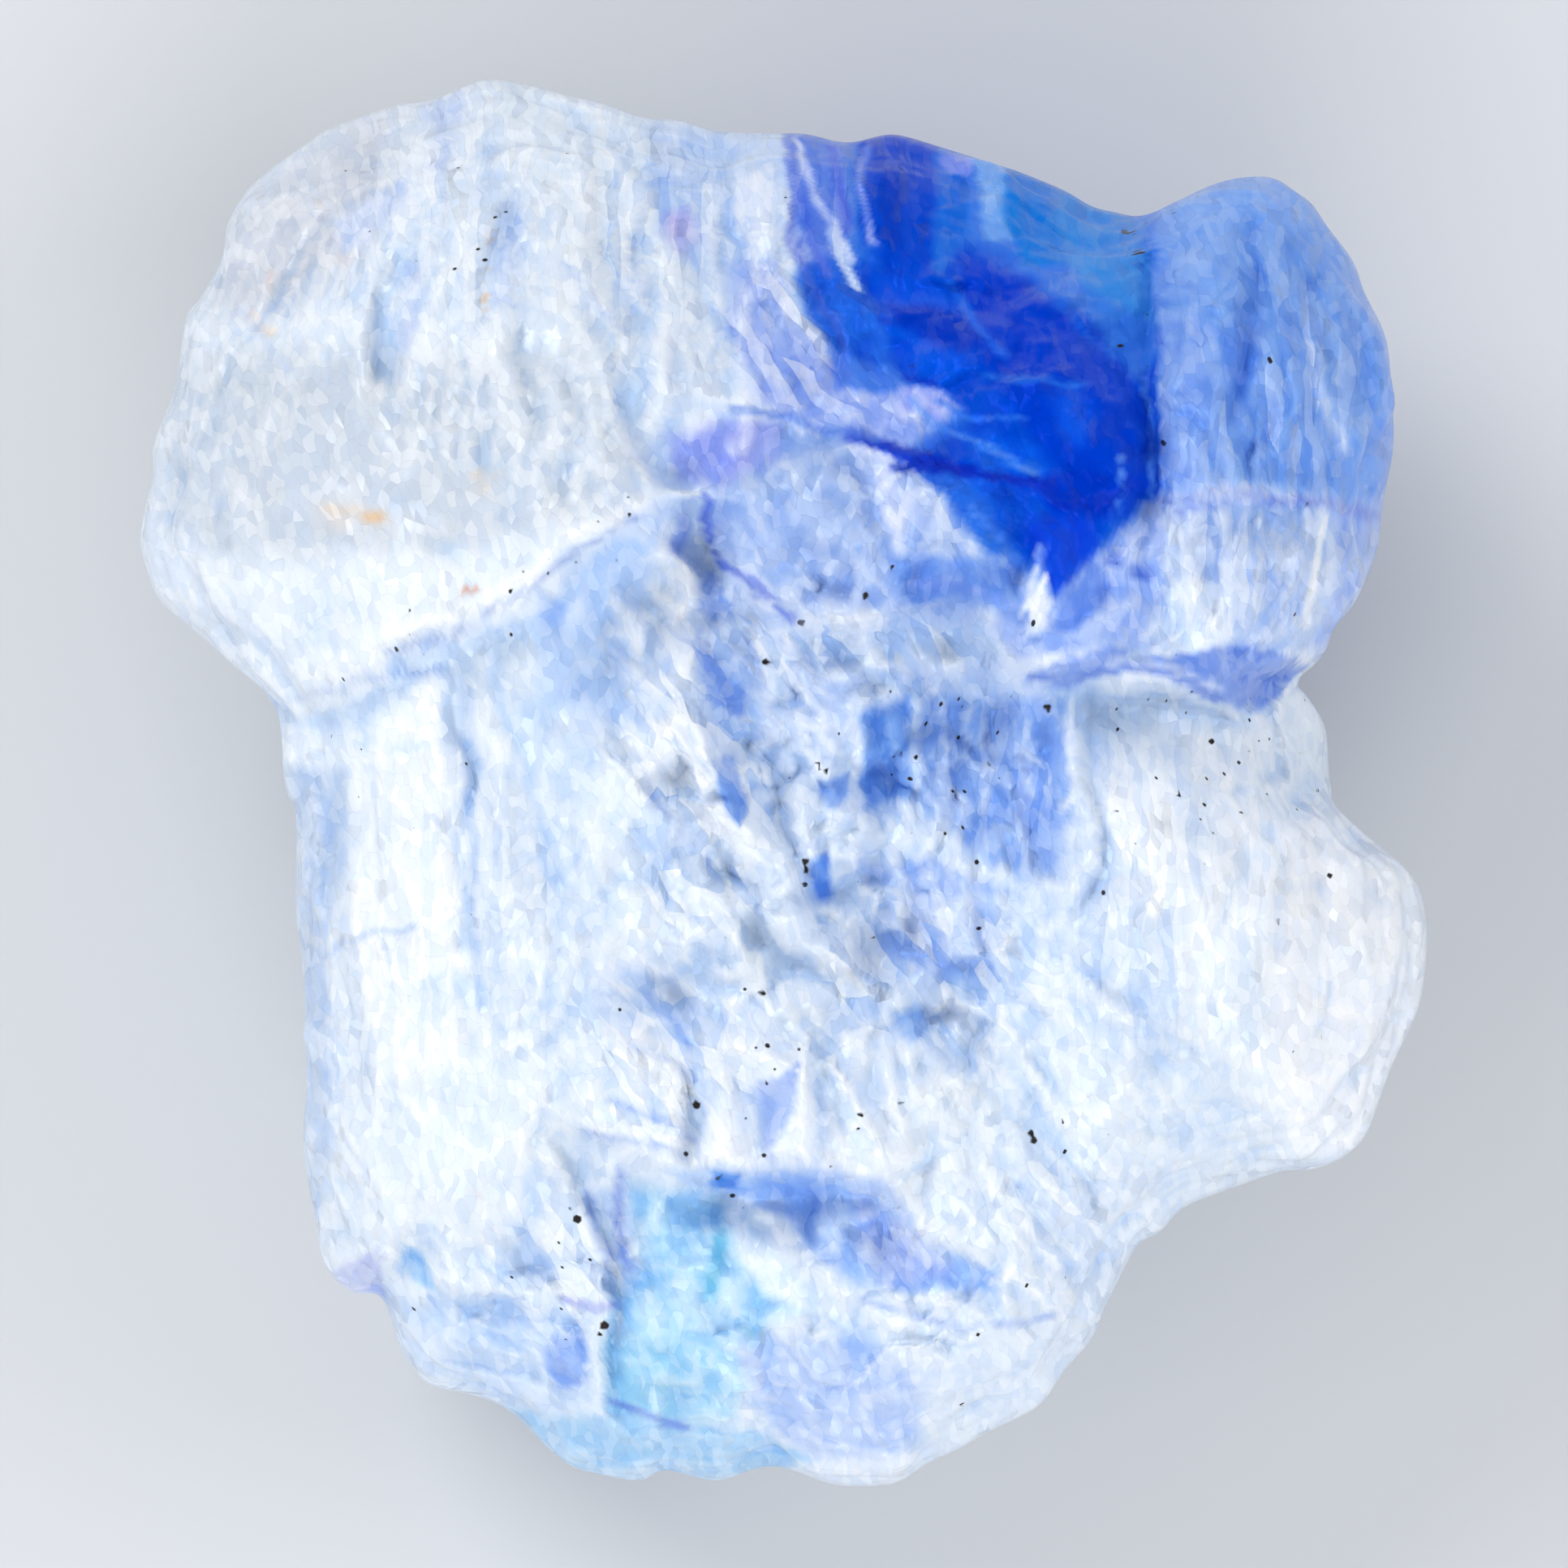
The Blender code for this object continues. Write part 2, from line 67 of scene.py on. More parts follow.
# A pixel of the photograph as a place in the stone's plan
PHOTO_SIZE = 1932
PHOTO_MIDDLE = 967
MM_PER_PIXEL = 0.025

# Driving dimensions, as in the solid
WIDTH = 39.5
FRONT_RISE = 10.6
RIM_HEIGHT = 9.4
BACK_DROP = 10.2

# How finely the surface is made: the sphere's subdivisions, and the most faces that are kept
SPHERE_LEVEL = 8
MOST_FACES = 190_000

# Fullness of the front and the back: 2 is round, and more is squarer at the rim
FRONT_FULLNESS = 2.5
BACK_FULLNESS = 2.4

# The outline's small bumps die out from the outer to the inner of these shares of its radius, and are
# averaged over this many radians each way inside
BUMPS_FROM, BUMPS_TO = 0.99, 0.72
BUMPS_HALF_TURN = 0.16

# How suddenly one broken plate gives way to the next
PLATE_SHARPNESS = 26

# Rise of the rim for each millimetre along X and Y, and its waves, as height and size
RIM_TILT = (0.05, 0.03)
RIM_WAVES = [(1.2, 8.0), (0.5, 3.1)]

# Wander of the front's lines, as distance and size of its waves, and the front's soft unevenness, as height
# and size
WANDERS = [(0.40, 2.3), (0.16, 0.9)]
FRONT_NOISE = (0.35, 3.6)

# Steps that roughen the sides and the back, as height and size of the blocks, and the softer bumps on them
STEPS = [(0.40, 3.6), (0.20, 1.7)]
BUMPS = (0.35, 3.2)

# Outline of the stone from above, clockwise from the top of the left dome. Places in texts are x,y pairs
OUTLINE = (
    "-8.9,21.7 -7.8,21.5 -6.7,21.2 -5.4,20.9 -4.4,20.5 -3.0,20.4 -2.2,20.1 -0.4,20.0 "
    "0.7,20.0 2.0,19.7 3.3,20.0 4.5,19.7 5.8,19.3 7.1,18.9 8.1,18.5 8.8,18.2 "
    "9.6,17.7 10.3,17.6 11.0,17.4 12.1,17.9 13.3,18.5 14.6,18.7 15.3,18.6 15.7,18.2 "
    "16.3,17.9 16.6,17.3 17.6,16.0 17.8,15.2 18.3,14.3 18.6,13.5 18.7,12.2 18.8,10.7 "
    "18.7,9.7 18.5,8.9 18.3,7.2 18.0,6.4 17.6,5.5 17.0,5.1 16.8,4.3 16.3,3.9 "
    "15.8,3.6 15.8,2.9 16.3,2.4 16.7,1.7 16.8,0.4 16.9,-0.6 17.1,-0.9 18.6,-2.2 "
    "19.2,-2.7 19.6,-3.2 19.8,-4.3 19.8,-5.3 19.7,-6.2 19.5,-7.1 18.7,-8.8 18.1,-10.5 "
    "17.8,-11.1 17.3,-11.5 16.8,-11.8 15.6,-11.9 14.1,-12.4 12.3,-13.1 11.6,-13.9 11.0,-14.1 "
    "10.7,-14.6 9.8,-16.4 9.7,-16.8 9.4,-17.3 8.5,-18.3 8.2,-18.9 7.6,-19.4 6.1,-20.1 "
    "5.7,-20.4 4.2,-21.1 3.6,-21.6 2.1,-21.7 1.3,-21.6 0.3,-21.2 -0.6,-21.1 -1.8,-21.5 "
    "-2.4,-21.5 -3.7,-21.2 -4.2,-21.5 -4.9,-21.5 -5.9,-21.3 -6.7,-21.0 -7.8,-20.0 -8.3,-19.5 "
    "-9.3,-19.0 -10.9,-18.6 -11.4,-18.1 -11.8,-17.5 -12.4,-15.9 -13.2,-15.8 -13.8,-15.4 -14.2,-14.8 "
    "-14.5,-13.2 -14.7,-12.1 -14.8,-10.8 -14.7,-9.1 -14.8,-5.8 -15.0,-4.1 -15.0,-1.0 -15.3,-0.3 "
    "-15.4,0.9 -15.5,1.9 -15.8,2.6 -16.2,3.1 -16.9,3.6 -18.0,4.6 -19.2,5.6 -19.7,6.9 "
    "-19.8,7.7 -19.6,8.7 -19.4,9.4 -19.4,10.4 -18.9,11.7 -18.7,12.4 -18.4,14.4 -18.0,14.9 "
    "-17.3,16.2 -17.1,17.3 -16.3,18.5 -14.7,19.7 -13.9,20.2 -11.9,20.9 -10.9,21.0 -10.2,21.3 "
    "-9.5,21.6 "
)

# Lumps of the front: centre x and y, half width, half length, turn in degrees, and rise
LUMPS = {
    "upper_left_dome": (-12.2, 10.6, 10.2, 9.6, 0, 2.9),
    "top_shoulder": (-4.2, 15.6, 6.5, 6.4, 0, 1.0),
    "blue_mass": (6.6, 12.4, 7.2, 8.2, -18, 1.9),
    "right_lobe": (15.6, 10.2, 4.9, 8.6, 0, 2.4),
    "middle_knob": (2.2, 7.6, 5.0, 3.4, 0, 1.2),
    "lens": (12.4, 5.0, 6.0, 2.6, 0, 0.8),
    "left_column": (-11.4, -5.6, 4.2, 13.6, 2, 2.2),
    "left_flank": (-6.6, -5.6, 3.4, 10.0, 6, 1.3),
    "right_column": (11.8, -4.6, 4.6, 9.4, -4, 2.4),
    "right_bulge": (17.4, -6.6, 4.6, 6.2, 0, 2.0),
    "tooth_ridge": (-0.4, -9.6, 6.4, 3.4, 0, 1.9),
    "belly": (-0.6, -18.6, 7.8, 5.0, 0, 1.3),
    "lower_right_slope": (7.2, -13.4, 5.6, 6.4, -30, 1.3),
    "left_foot": (-9.6, -17.2, 3.8, 3.0, 0, 1.1),
}

# Hollows of the front, in the same order, with the depth last
HOLLOWS = {
    "centre_valley": (3.2, -0.6, 6.6, 8.4, 8, 3.1),
    "valley_floor": (4.2, 1.2, 3.2, 4.8, 0, 0.9),
    "lobe_notch": (11.2, 15.2, 2.0, 5.0, 0, 0.9),
    "left_armpit": (-5.8, 4.6, 3.2, 3.0, -40, 0.5),
}

# Ledges: the line of the edge, the drop (on its right hand going along it, or on its left if negative),
# the width of the cliff, and how far from the edge the ground has risen again
LEDGES = {
    "brow": ("-4.8,8.1 -6.2,7.2 -7.7,6.0 -9.2,5.1 -11.2,4.2 -13.4,3.2 -16.6,2.4", -1.4, 0.8, 6.0),
    "middle": (
        "-2.3,7.7 -1.9,6.6 -0.9,5.9 0.5,5.1 2.1,5.0 3.6,5.4 5.3,5.5 6.4,4.8 6.9,3.6 8.1,3.6 9.3,3.9 10.8,3.4 "
        "12.1,3.0 13.8,2.7 15.1,3.0 17.0,3.7", 1.7, 0.6, 7.0),
    "white_ridge": ("-6.4,14.0 -5.6,12.2 -4.6,10.6 -3.2,9.2", -0.7, 0.5, 4.0),
    "teeth": (
        "-3.9,-11.9 -2.7,-11.6 -0.2,-11.6 1.1,-11.5 2.3,-11.5 3.3,-12.0 4.2,-13.1 5.0,-14.6", 1.1, 0.6, 4.6),
    "belly_side": ("-6.9,-11.4 -6.3,-12.8 -5.7,-14.4 -5.4,-16.0 -5.5,-17.5 -5.5,-19.2", -0.9, 0.4, 3.0),
    "foot_top": ("-14.2,-15.9 -12.4,-15.8 -10.9,-15.6 -9.2,-15.7 -7.7,-15.8 -6.2,-16.1", 0.7, 0.6, 2.4),
    "lobe_crack": ("11.4,8.6 12.1,8.9 13.3,8.9 14.6,8.7 15.8,8.6 17.1,8.4 18.6,8.2", 0.5, 0.3, 2.4),
    "column_step": ("9.2,3.0 9.1,1.0 9.0,-1.2 8.7,-3.2", -1.1, 0.5, 3.4),
    "flake_stair": ("-3.6,8.4 -3.3,5.6 -2.6,2.8 -1.8,0.2 -0.6,-2.4 0.8,-4.6 2.4,-6.4", -0.9, 0.7, 3.0),
    "blue_shelf": ("2.2,10.6 4.2,9.8 6.4,9.0 8.6,8.8 10.8,9.4", 0.5, 0.5, 3.0),
}

# Grooves: the line, the depth and the half width
GROOVES = {
    "lobe_seam": ("10.9,18.6 11.1,16.0 11.3,14.2 11.3,12.2 11.5,8.6", 1.2, 1.5),
    "left_groove": ("-9.8,3.4 -9.7,1.0 -9.7,-1.2 -9.5,-3.4 -9.4,-5.2", 0.6, 0.8),
    "top_groove_left": ("-11.7,16.4 -11.7,14.6 -11.8,12.6", 0.7, 0.7),
    "top_groove_blue": ("-8.2,17.8 -8.6,16.0 -8.7,14.2", 0.8, 0.7),
    "top_groove_right": ("-5.9,20.6 -5.7,18.0 -4.9,15.6 -4.8,14.0", 0.7, 0.7),
    "lobe_groove": ("14.0,16.6 14.2,14.0 13.9,11.4", 0.6, 0.8),
    "lower_scratch": ("6.9,-12.2 7.8,-13.8 8.5,-15.0", 0.5, 0.6),
}

# Cleavage spikes above the teeth ledge: tip x and y, foot x and y, half width of the foot, and rise
TEETH = [
    (-3.3, -8.2, -3.4, -11.6, 0.8, 0.8), (-1.8, -8.6, -1.8, -11.6, 0.9, 1.0),
    (0.8, -7.6, 0.4, -11.5, 1.2, 1.1), (1.4, -8.2, 3.2, -11.7, 1.0, 0.9),
]

# Crackled ground: centre x and y, half width, half length, turn of the area, then the width and length
# of its plates, their turn, and how far they stand up or lie deep
CRACKLES = {
    "valley": (3.0, -1.6, 7.0, 9.0, 10, 1.7, 2.8, 12, 0.75),
    "flakes": (-1.8, 1.6, 3.4, 7.5, 18, 1.5, 2.6, 38, 0.6),
    "top": (-5.6, 15.2, 8.0, 6.4, 0, 1.1, 4.6, 2, 0.42),
    "blue": (6.4, 10.4, 7.0, 6.6, -20, 1.9, 2.6, -30, 0.5),
    "lobe": (14.8, 9.8, 4.6, 7.6, 0, 1.4, 3.4, 8, 0.42),
    "belly": (-1.0, -16.6, 8.4, 5.0, 0, 2.4, 2.8, 25, 0.6),
    "slope": (7.4, -11.4, 6.0, 6.6, -30, 1.8, 4.0, 35, 0.4),
    "flank": (-5.6, -6.0, 4.6, 8.4, 0, 2.6, 4.4, -10, 0.35),
    "foot": (-9.8, -16.8, 4.6, 3.6, 0, 1.5, 2.0, 0, 0.4),
}

# Flat breaks of the back: the way they rise in degrees from +X, their rise over a millimetre, and their
# depth under the rim in the middle of the stone
BREAKS = [
    (180, 0.95, 18.4), (118, 0.76, 19.0), (52, 0.85, 19.6), (4, 1.0, 20.6), (-58, 0.88, 19.2),
    (-112, 0.92, 20.4), (150, 0.3, 11.3), (-24, 0.32, 11.5), (-78, 0.42, 12.4),
]

# Broken plates of the back: width, length, turn in degrees, and how far they stand out
BACK_PLATES = (5.2, 6.8, 20, 0.9)

# The back never comes closer than this to the rim's level
BACK_CLEARANCE = 0.25

# Small plates on the crackled ground, as shares of the plates' width, length and height
SMALL_PLATES = [(0.42, 0.40, 0.50), (0.22, 0.24, 0.20)]

# Fine unevenness of the front, as height and size
FINE_NOISE = (0.03, 0.9)

# Ribbed ground: centre x and y, half width, half length and turn of the area, then the spacing, length
# and turn of its ribs, and their height
RIBS = {
    "top": (-7.6, 15.4, 7.4, 6.0, 0, 0.42, 3.6, 0, 0.20),
    "top_right": (0.4, 16.4, 4.0, 4.6, -8, 0.50, 3.2, -8, 0.16),
    "lobe": (14.6, 11.8, 4.2, 6.2, 0, 0.55, 3.0, 4, 0.15),
    "lobe_foot": (13.6, 6.2, 4.6, 2.8, 0, 0.60, 2.2, -22, 0.14),
    "valley_wall": (6.6, 0.2, 3.4, 3.6, 0, 0.42, 2.6, 0, 0.20),
    "valley_left": (-1.2, 3.2, 3.0, 4.8, 20, 0.45, 1.8, 35, 0.18),
    "column": (-11.0, -5.6, 4.4, 12.0, 0, 0.80, 7.0, 0, 0.06),
    "right_column": (11.8, -3.0, 4.4, 6.6, 0, 0.70, 4.4, 2, 0.09),
    "hackles": (-3.9, -8.7, 2.8, 3.6, 0, 0.50, 2.6, 66, 0.22),
    "rays": (2.6, -2.0, 2.6, 2.2, 0, 0.30, 1.8, -44, 0.14),
    "scratches": (7.6, -13.4, 3.2, 3.4, 0, 0.60, 2.8, 34, 0.14),
    "belly": (-2.0, -16.8, 6.4, 4.2, 0, 0.9, 2.4, 58, 0.10),
}

# The share of the ribs' height that is used
RIB_SHARE = 0.8

# Finer steps on the sides and the back, as height and size of the blocks
FINE_STEPS = [(0.10, 0.8), (0.05, 0.42)]


# Colours as the eye reads them, from 0 to 255
ICE = (228, 236, 245)
BRIGHT = (253, 254, 255)
# Painted shade for the sides that turn away from straight above
SIDE_SHADE = (216, 229, 245)

# How strongly clouds show, how strongly painted shade darkens pits and wide hollows, how strongly ridges get a
# painted highlight and the sides painted shade, and what share of the red, green and blue is left in a hollow's
# painted shade
CLOUD_STRENGTH = 0.22
PIT_SHADE_STRENGTH = 0.22
HOLLOW_SHADE_STRENGTH = 0.40
RIDGE_HIGHLIGHT_STRENGTH = 0.28
SIDE_SHADE_STRENGTH = 0.45
HOLLOW_SHADE_SHARE = (0.78, 0.88, 1.0)

# Rounds of evening that give the ground near a place and the ground widely round it
NEAR_ROUNDS = 5
WIDE_ROUNDS = 60

# Areas of colour, each laid over the ones before it: its name, its colour, the softness of its edge in
# millimetres, and its outline in the photograph's pixels
# A few areas are painted light and painted shade rather than the stone's own colour; they are marked where they
# stand
AREAS = [
    "dome_blush 204,207,215 1.6 280,260 400,165 490,130 480,260 440,340 330,400 250,380",
    "dome_shade 207,214,222 1.2 215,430 460,440 700,440 800,580 700,660 480,690 300,700 195,640",
    "under_dome 234,240,247 1.0 240,770 420,690 560,705 640,740 640,800 560,830 480,860 380,840",
    # Painted light on the crest of the left column
    "column_light 250,252,254 0.8 470,860 570,830 575,1000 570,1160 585,1250 560,1330 470,1340 440,1180 "
        "435,980",
    "column_foot 240,246,253 0.8 450,1340 600,1300 680,1420 660,1500 520,1530 450,1500",
    # Painted shade on the left column's left and right flanks
    "column_left 184,203,230 0.5 350,940 430,950 425,1080 400,1160 415,1300 400,1500 372,1500 368,1150",
    "column_right 218,229,243 1.0 590,1000 640,950 760,1080 750,1280 620,1290",
    "column_line 196,214,238 0.25 574,850 590,845 592,1000 590,1120 606,1240 594,1250 578,1120 578,1000",
    "armpit 216,231,252 0.25 665,735 700,745 770,640 822,610 815,690 795,760 775,880 750,930 700,930 "
        "660,900 665,800",
    "armpit_deep 176,200,241 0.4 672,735 700,748 695,790 672,775",
    "armpit_foot 210,225,245 0.8 650,880 760,890 770,985 700,1000 650,960",
    "top_lavender 190,209,240 0.6 800,145 960,150 990,170 960,330 900,420 880,360 820,300 800,220",
    "top_white 226,233,247 0.4 905,230 950,210 955,320 920,330",
    "dome_streaks 200,215,240 0.3 615,255 650,262 646,330 640,390 618,392 610,320",
    "dome_streaks_left 205,216,241 0.3 502,330 526,335 522,400 508,450 498,440 500,380",
    "dome_streaks_top 205,216,241 0.4 520,130 575,110 565,170 545,225 528,215 535,170",
    "dome_streaks_far 200,212,238 0.4 418,270 500,225 508,245 470,290 450,310 424,312",
    "dome_cheek 206,218,239 0.4 770,330 800,300 795,390 775,410",
    "fringe 88,126,222 0.4 966,160 1056,160 1050,240 1060,312 1040,345 1000,330 974,260",
    "fringe_blue 46,98,212 0.5 984,326 1050,318 1092,360 1102,430 1056,444 1010,404 992,366",
    "violet_spot 186,180,232 0.6 822,270 850,262 862,300 840,318 820,300",
    "patch_skirt 150,172,238 0.9 905,400 985,400 1040,440 1110,462 1200,490 1190,545 1140,575 1080,560 "
        "1000,535 930,500",
    "patch_skirt_left 172,188,240 0.6 905,330 960,335 985,400 930,440 900,410",
    "patch_ground 62,122,224 0.8 1045,130 1460,150 1460,640 1340,700 1270,690 1190,620 1110,565 1175,520 "
        "1105,485 1020,440 985,350 1050,300",
    "patch 0,74,208 0.9 1055,130 1160,130 1155,300 1230,320 1300,410 1390,420 1450,470 1450,640 1375,650 "
        "1330,740 1300,745 1240,690 1190,640 1125,570 1190,520 1110,470 1060,460 1020,420 1000,350 1070,325",
    "patch_left 35,98,215 0.5 1000,330 1040,330 1080,380 1100,430 1060,440 1030,440 1010,400",
    "patch_low_left 66,122,226 0.4 1020,440 1100,450 1115,490 1060,488 1035,478",
    "patch_edge 40,108,220 0.4 1105,565 1200,590 1260,700 1240,740 1200,690 1150,610",
    "patch_tail 15,70,215 0.4 1255,640 1345,645 1350,700 1312,750 1275,705",
    "patch_deep_top 0,68,200 0.5 1060,160 1150,165 1150,330 1090,330 1055,280",
    "patch_deep 0,60,200 0.7 1190,330 1260,350 1380,430 1405,520 1412,600 1340,640 1280,560 1240,500 "
        "1190,420",
    "patch_glow 10,92,226 0.6 1180,535 1280,560 1300,610 1262,656 1200,610",
    "patch_middle 4,84,222 0.5 1075,345 1150,350 1185,400 1190,470 1150,480 1100,440",
    "patch_middle_left 30,100,222 0.35 1010,345 1060,352 1100,420 1092,452 1040,430 1010,400",
    "patch_blotch 0,54,188 0.35 1100,380 1170,385 1230,420 1180,440 1110,410",
    "patch_blotch_low 0,52,190 0.3 1270,590 1340,585 1400,600 1360,640 1300,636",
    "patch_blotch_top 0,58,186 0.4 1080,200 1110,210 1110,300 1088,310",
    "patch_light 14,84,224 0.6 1296,500 1320,470 1350,520 1330,560 1300,540",
    "patch_streak 22,104,216 0.35 1155,175 1190,230 1195,300 1160,345 1148,330 1156,260",
    "patch_spot 118,140,236 0.2 1158,192 1205,198 1190,224 1165,218",
    "triangle 112,165,236 0.3 1200,195 1255,200 1245,300 1210,300",
    "cyan 20,122,218 0.4 1245,195 1300,225 1312,330 1262,335 1235,270",
    "pale_cyan 58,140,222 0.5 1300,215 1410,255 1422,400 1385,430 1340,370 1300,300",
    "middle_cyan 52,122,222 0.4 1335,365 1415,400 1422,440 1400,480 1365,430",
    "notch 160,172,242 0.3 1108,484 1160,490 1180,508 1145,526 1112,516",
    "lobe 112,158,233 0.15 1422,240 1560,190 1640,220 1730,420 1730,620 1600,640 1424,640",
    "lobe_deep 104,152,229 0.8 1490,290 1560,270 1630,330 1640,400 1560,420 1500,400",
    "lobe_left 116,158,235 0.5 1426,390 1490,400 1500,500 1490,600 1428,610",
    "lobe_rim 107,152,231 0.6 1670,330 1740,400 1740,640 1692,640 1690,480",
    "lobe_dents 88,138,228 0.3 1485,405 1520,398 1545,440 1530,500 1505,470",
    "lobe_streak 158,188,243 0.4 1604,420 1620,430 1636,490 1660,556 1648,562 1620,500",
    "lobe_low 178,200,240 0.4 1400,622 1520,600 1640,622 1690,660 1660,800 1500,815 1380,800 1370,700",
    "lobe_low_rim 150,176,236 0.5 1646,630 1720,610 1700,720 1640,830 1610,800 1650,720",
    "lobe_seam 140,165,232 0.25 1440,632 1510,612 1600,615 1690,636 1690,648 1600,628 1510,624 1440,644",
    "lobe_bar 253,254,255 0.15 1612,690 1628,640 1636,645 1618,720 1606,782 1598,780",
    "lobe_glow 240,246,255 0.5 1440,715 1500,720 1520,790 1450,812 1425,780",
    "lobe_bar_left 253,254,255 0.15 1368,745 1380,742 1386,806 1372,808",
    "tail_skirt 146,174,236 0.5 1215,700 1300,738 1345,690 1395,640 1440,660 1425,740 1400,800 1255,815 "
        "1220,770",
    "tail_skirt_deep 96,136,226 0.3 1305,735 1350,700 1366,730 1330,780 1300,780",
    "flame 240,245,255 0.2 1283,700 1292,740 1289,780 1264,790 1268,745",
    "knob 152,178,228 0.6 880,560 960,530 1080,545 1180,640 1235,720 1200,770 1100,760 980,765 900,700 "
        "872,640",
    "knob_violet 160,168,236 0.7 825,540 900,525 965,530 960,570 890,600 835,600",
    "knob_light 206,216,248 0.4 1040,545 1110,550 1130,660 1105,680 1080,620",
    "knob_right 98,142,224 0.5 1100,690 1250,690 1260,770 1180,740 1100,760",
    "knob_line 118,140,226 0.12 866,606 874,612 878,650 888,688 904,702 928,712 962,746 988,764 978,770 "
        "952,756 920,724 896,712 878,694 868,652",
    "lens 118,150,226 0.2 1255,840 1300,818 1360,803 1420,812 1540,798 1612,820 1548,888 1480,862 1430,836 "
        "1330,836",
    "lens_light 166,186,236 0.3 1370,812 1440,822 1500,850 1480,858 1420,834 1360,824",
    "valley 218,231,248 1.0 870,790 1000,775 1250,830 1340,850 1350,1080 1290,1180 1210,1300 1100,1340 "
        "1000,1220 900,1080 880,960",
    "valley_blue 104,156,234 0.4 1055,880 1120,858 1127,990 1100,985 1068,1000",
    "valley_wall 150,184,240 0.5 1138,858 1310,866 1322,960 1312,1055 1272,1096 1215,1062 1165,1015 "
        "1130,985",
    "valley_wall_deep 138,175,239 1.2 1240,880 1300,880 1312,1060 1260,1070",
    "valley_dots 112,158,236 0.25 880,935 905,925 925,985 915,1020 890,1000",
    "valley_dot 124,166,237 0.25 1015,965 1050,955 1048,985 1020,1002",
    "valley_dot_low 96,148,235 0.25 994,1066 1018,1056 1034,1100 1012,1106",
    "valley_shelf 164,190,241 0.4 1055,1065 1150,1060 1250,1100 1160,1110 1065,1090",
    "valley_floor 182,203,243 0.7 1080,1110 1210,1110 1230,1190 1150,1210 1090,1170",
    "valley_foot 150,186,240 0.3 1100,1245 1140,1240 1152,1270 1120,1284",
    "sheet_gap 158,186,241 0.2 862,756 870,700 884,712 898,740 912,760 896,778 880,800 888,826 912,846 "
        "930,880 920,900 904,880 882,876 864,830 858,800",
    "sheet_wedge 166,186,241 0.2 829,693 845,618 853,660 842,692",
    "sheet 240,245,252 0.2 818,627 828,690 856,720 862,756 856,796 847,828 874,872 878,912 880,960 "
        "892,1004 897,1042 873,1022 847,973 820,955 798,929 766,908 770,880 782,827 789,773 807,729 814,689",
    "sheet_right 236,241,253 0.2 887,707 911,716 920,738 949,742 980,790 985,808 953,797 927,783 906,762",
    "sheet_middle 232,239,252 0.2 869,764 891,773 931,800 949,827 953,871 957,908 947,902 935,862 909,842 "
        "887,822 868,796",
    "sheet_sliver 226,235,251 0.2 924,885 940,914 954,958 958,992 936,953 922,918",
    "sheet_chip 232,239,252 0.2 887,878 903,884 900,918 886,946",
    "sheet_low 230,239,249 0.3 740,904 768,918 807,951 838,982 849,1015 850,1060 800,1070 744,1050",
    "valley_pale 206,221,248 0.4 975,800 1040,800 1060,840 1045,920 1000,930 975,880",
    # Painted light on the crest of the right column, and painted shade below it
    "right_column 253,254,255 0.4 1355,985 1375,965 1440,970 1455,1040 1450,1110 1420,1130 1380,1090",
    "right_column_shade 215,227,243 0.7 1300,1090 1400,1120 1450,1200 1440,1310 1360,1300 1300,1220",
    "right_streak 248,251,255 0.3 1450,1040 1490,1050 1510,1140 1500,1240 1470,1230 1460,1130",
    "right_wall 246,249,253 0.7 1380,870 1560,880 1580,1000 1560,1200 1510,1150 1500,960",
    "bulge 250,250,252 1.0 1590,990 1690,990 1780,1100 1780,1260 1680,1440 1570,1400 1560,1200",
    "low_right 222,232,245 1.2 1110,1460 1300,1420 1420,1480 1380,1640 1250,1780 1150,1700 1180,1580",
    "teeth 236,242,251 0.6 740,1180 860,1200 1000,1290 1100,1330 1120,1430 1000,1430 860,1430 760,1360",
    "tooth 248,251,255 0.15 872,1320 912,1300 926,1320 930,1378 944,1428 918,1436 878,1428",
    "tooth_wide 240,245,253 0.15 1001,1288 1040,1354 1096,1452 1040,1438 962,1434",
    "tooth_gap 178,196,240 0.2 934,1326 962,1330 985,1306 972,1370 956,1430 948,1420 936,1376",
    # Painted shade: the blue shadow in the recess under the teeth
    "recess 166,198,250 0.4 820,1436 968,1432 1094,1450 1136,1526 1225,1566 1225,1590 1064,1586 1010,1548 "
        "975,1505 925,1476 850,1458",
    "recess_deep 134,174,242 0.5 940,1448 1010,1450 1040,1490 1000,1500 960,1476",
    "recess_blue 44,126,236 0.2 877,1442 914,1440 912,1456 880,1460",
    "recess_light 170,190,244 0.6 1050,1470 1110,1500 1180,1570 1100,1580 1060,1530",
    "aqua 162,211,243 0.7 780,1455 880,1468 1000,1600 945,1640 905,1745 745,1745 742,1620 790,1560",
    "aqua_flame 112,190,226 0.35 876,1515 896,1508 890,1560 880,1600 866,1585",
    "aqua_white 240,248,253 0.4 900,1490 960,1550 1000,1610 950,1600 910,1550",
    "aqua_low 152,206,236 0.6 750,1640 840,1650 860,1740 750,1745",
    "low_edge 158,203,240 0.5 620,1735 760,1738 900,1755 1000,1795 900,1850 750,1850 670,1810",
    "low_lavender 184,204,243 0.8 910,1650 1060,1640 1140,1700 1130,1800 1000,1800 925,1720",
    "low_white 230,238,250 0.5 1010,1800 1150,1780 1120,1850 1020,1850",
    "foot 200,219,244 0.8 470,1600 560,1590 740,1600 740,1740 620,1730 500,1700",
    "foot_blue 148,195,240 0.3 498,1532 528,1548 545,1592 520,1584 500,1560",
    "foot_right 128,164,234 0.4 680,1645 725,1640 722,1700 690,1708 672,1680",
    "foot_line 150,165,228 0.15 690,1590 740,1604 762,1600 764,1612 736,1616 694,1602",
    "heel 176,186,235 0.25 410,1570 470,1536 474,1606 440,1604",
]

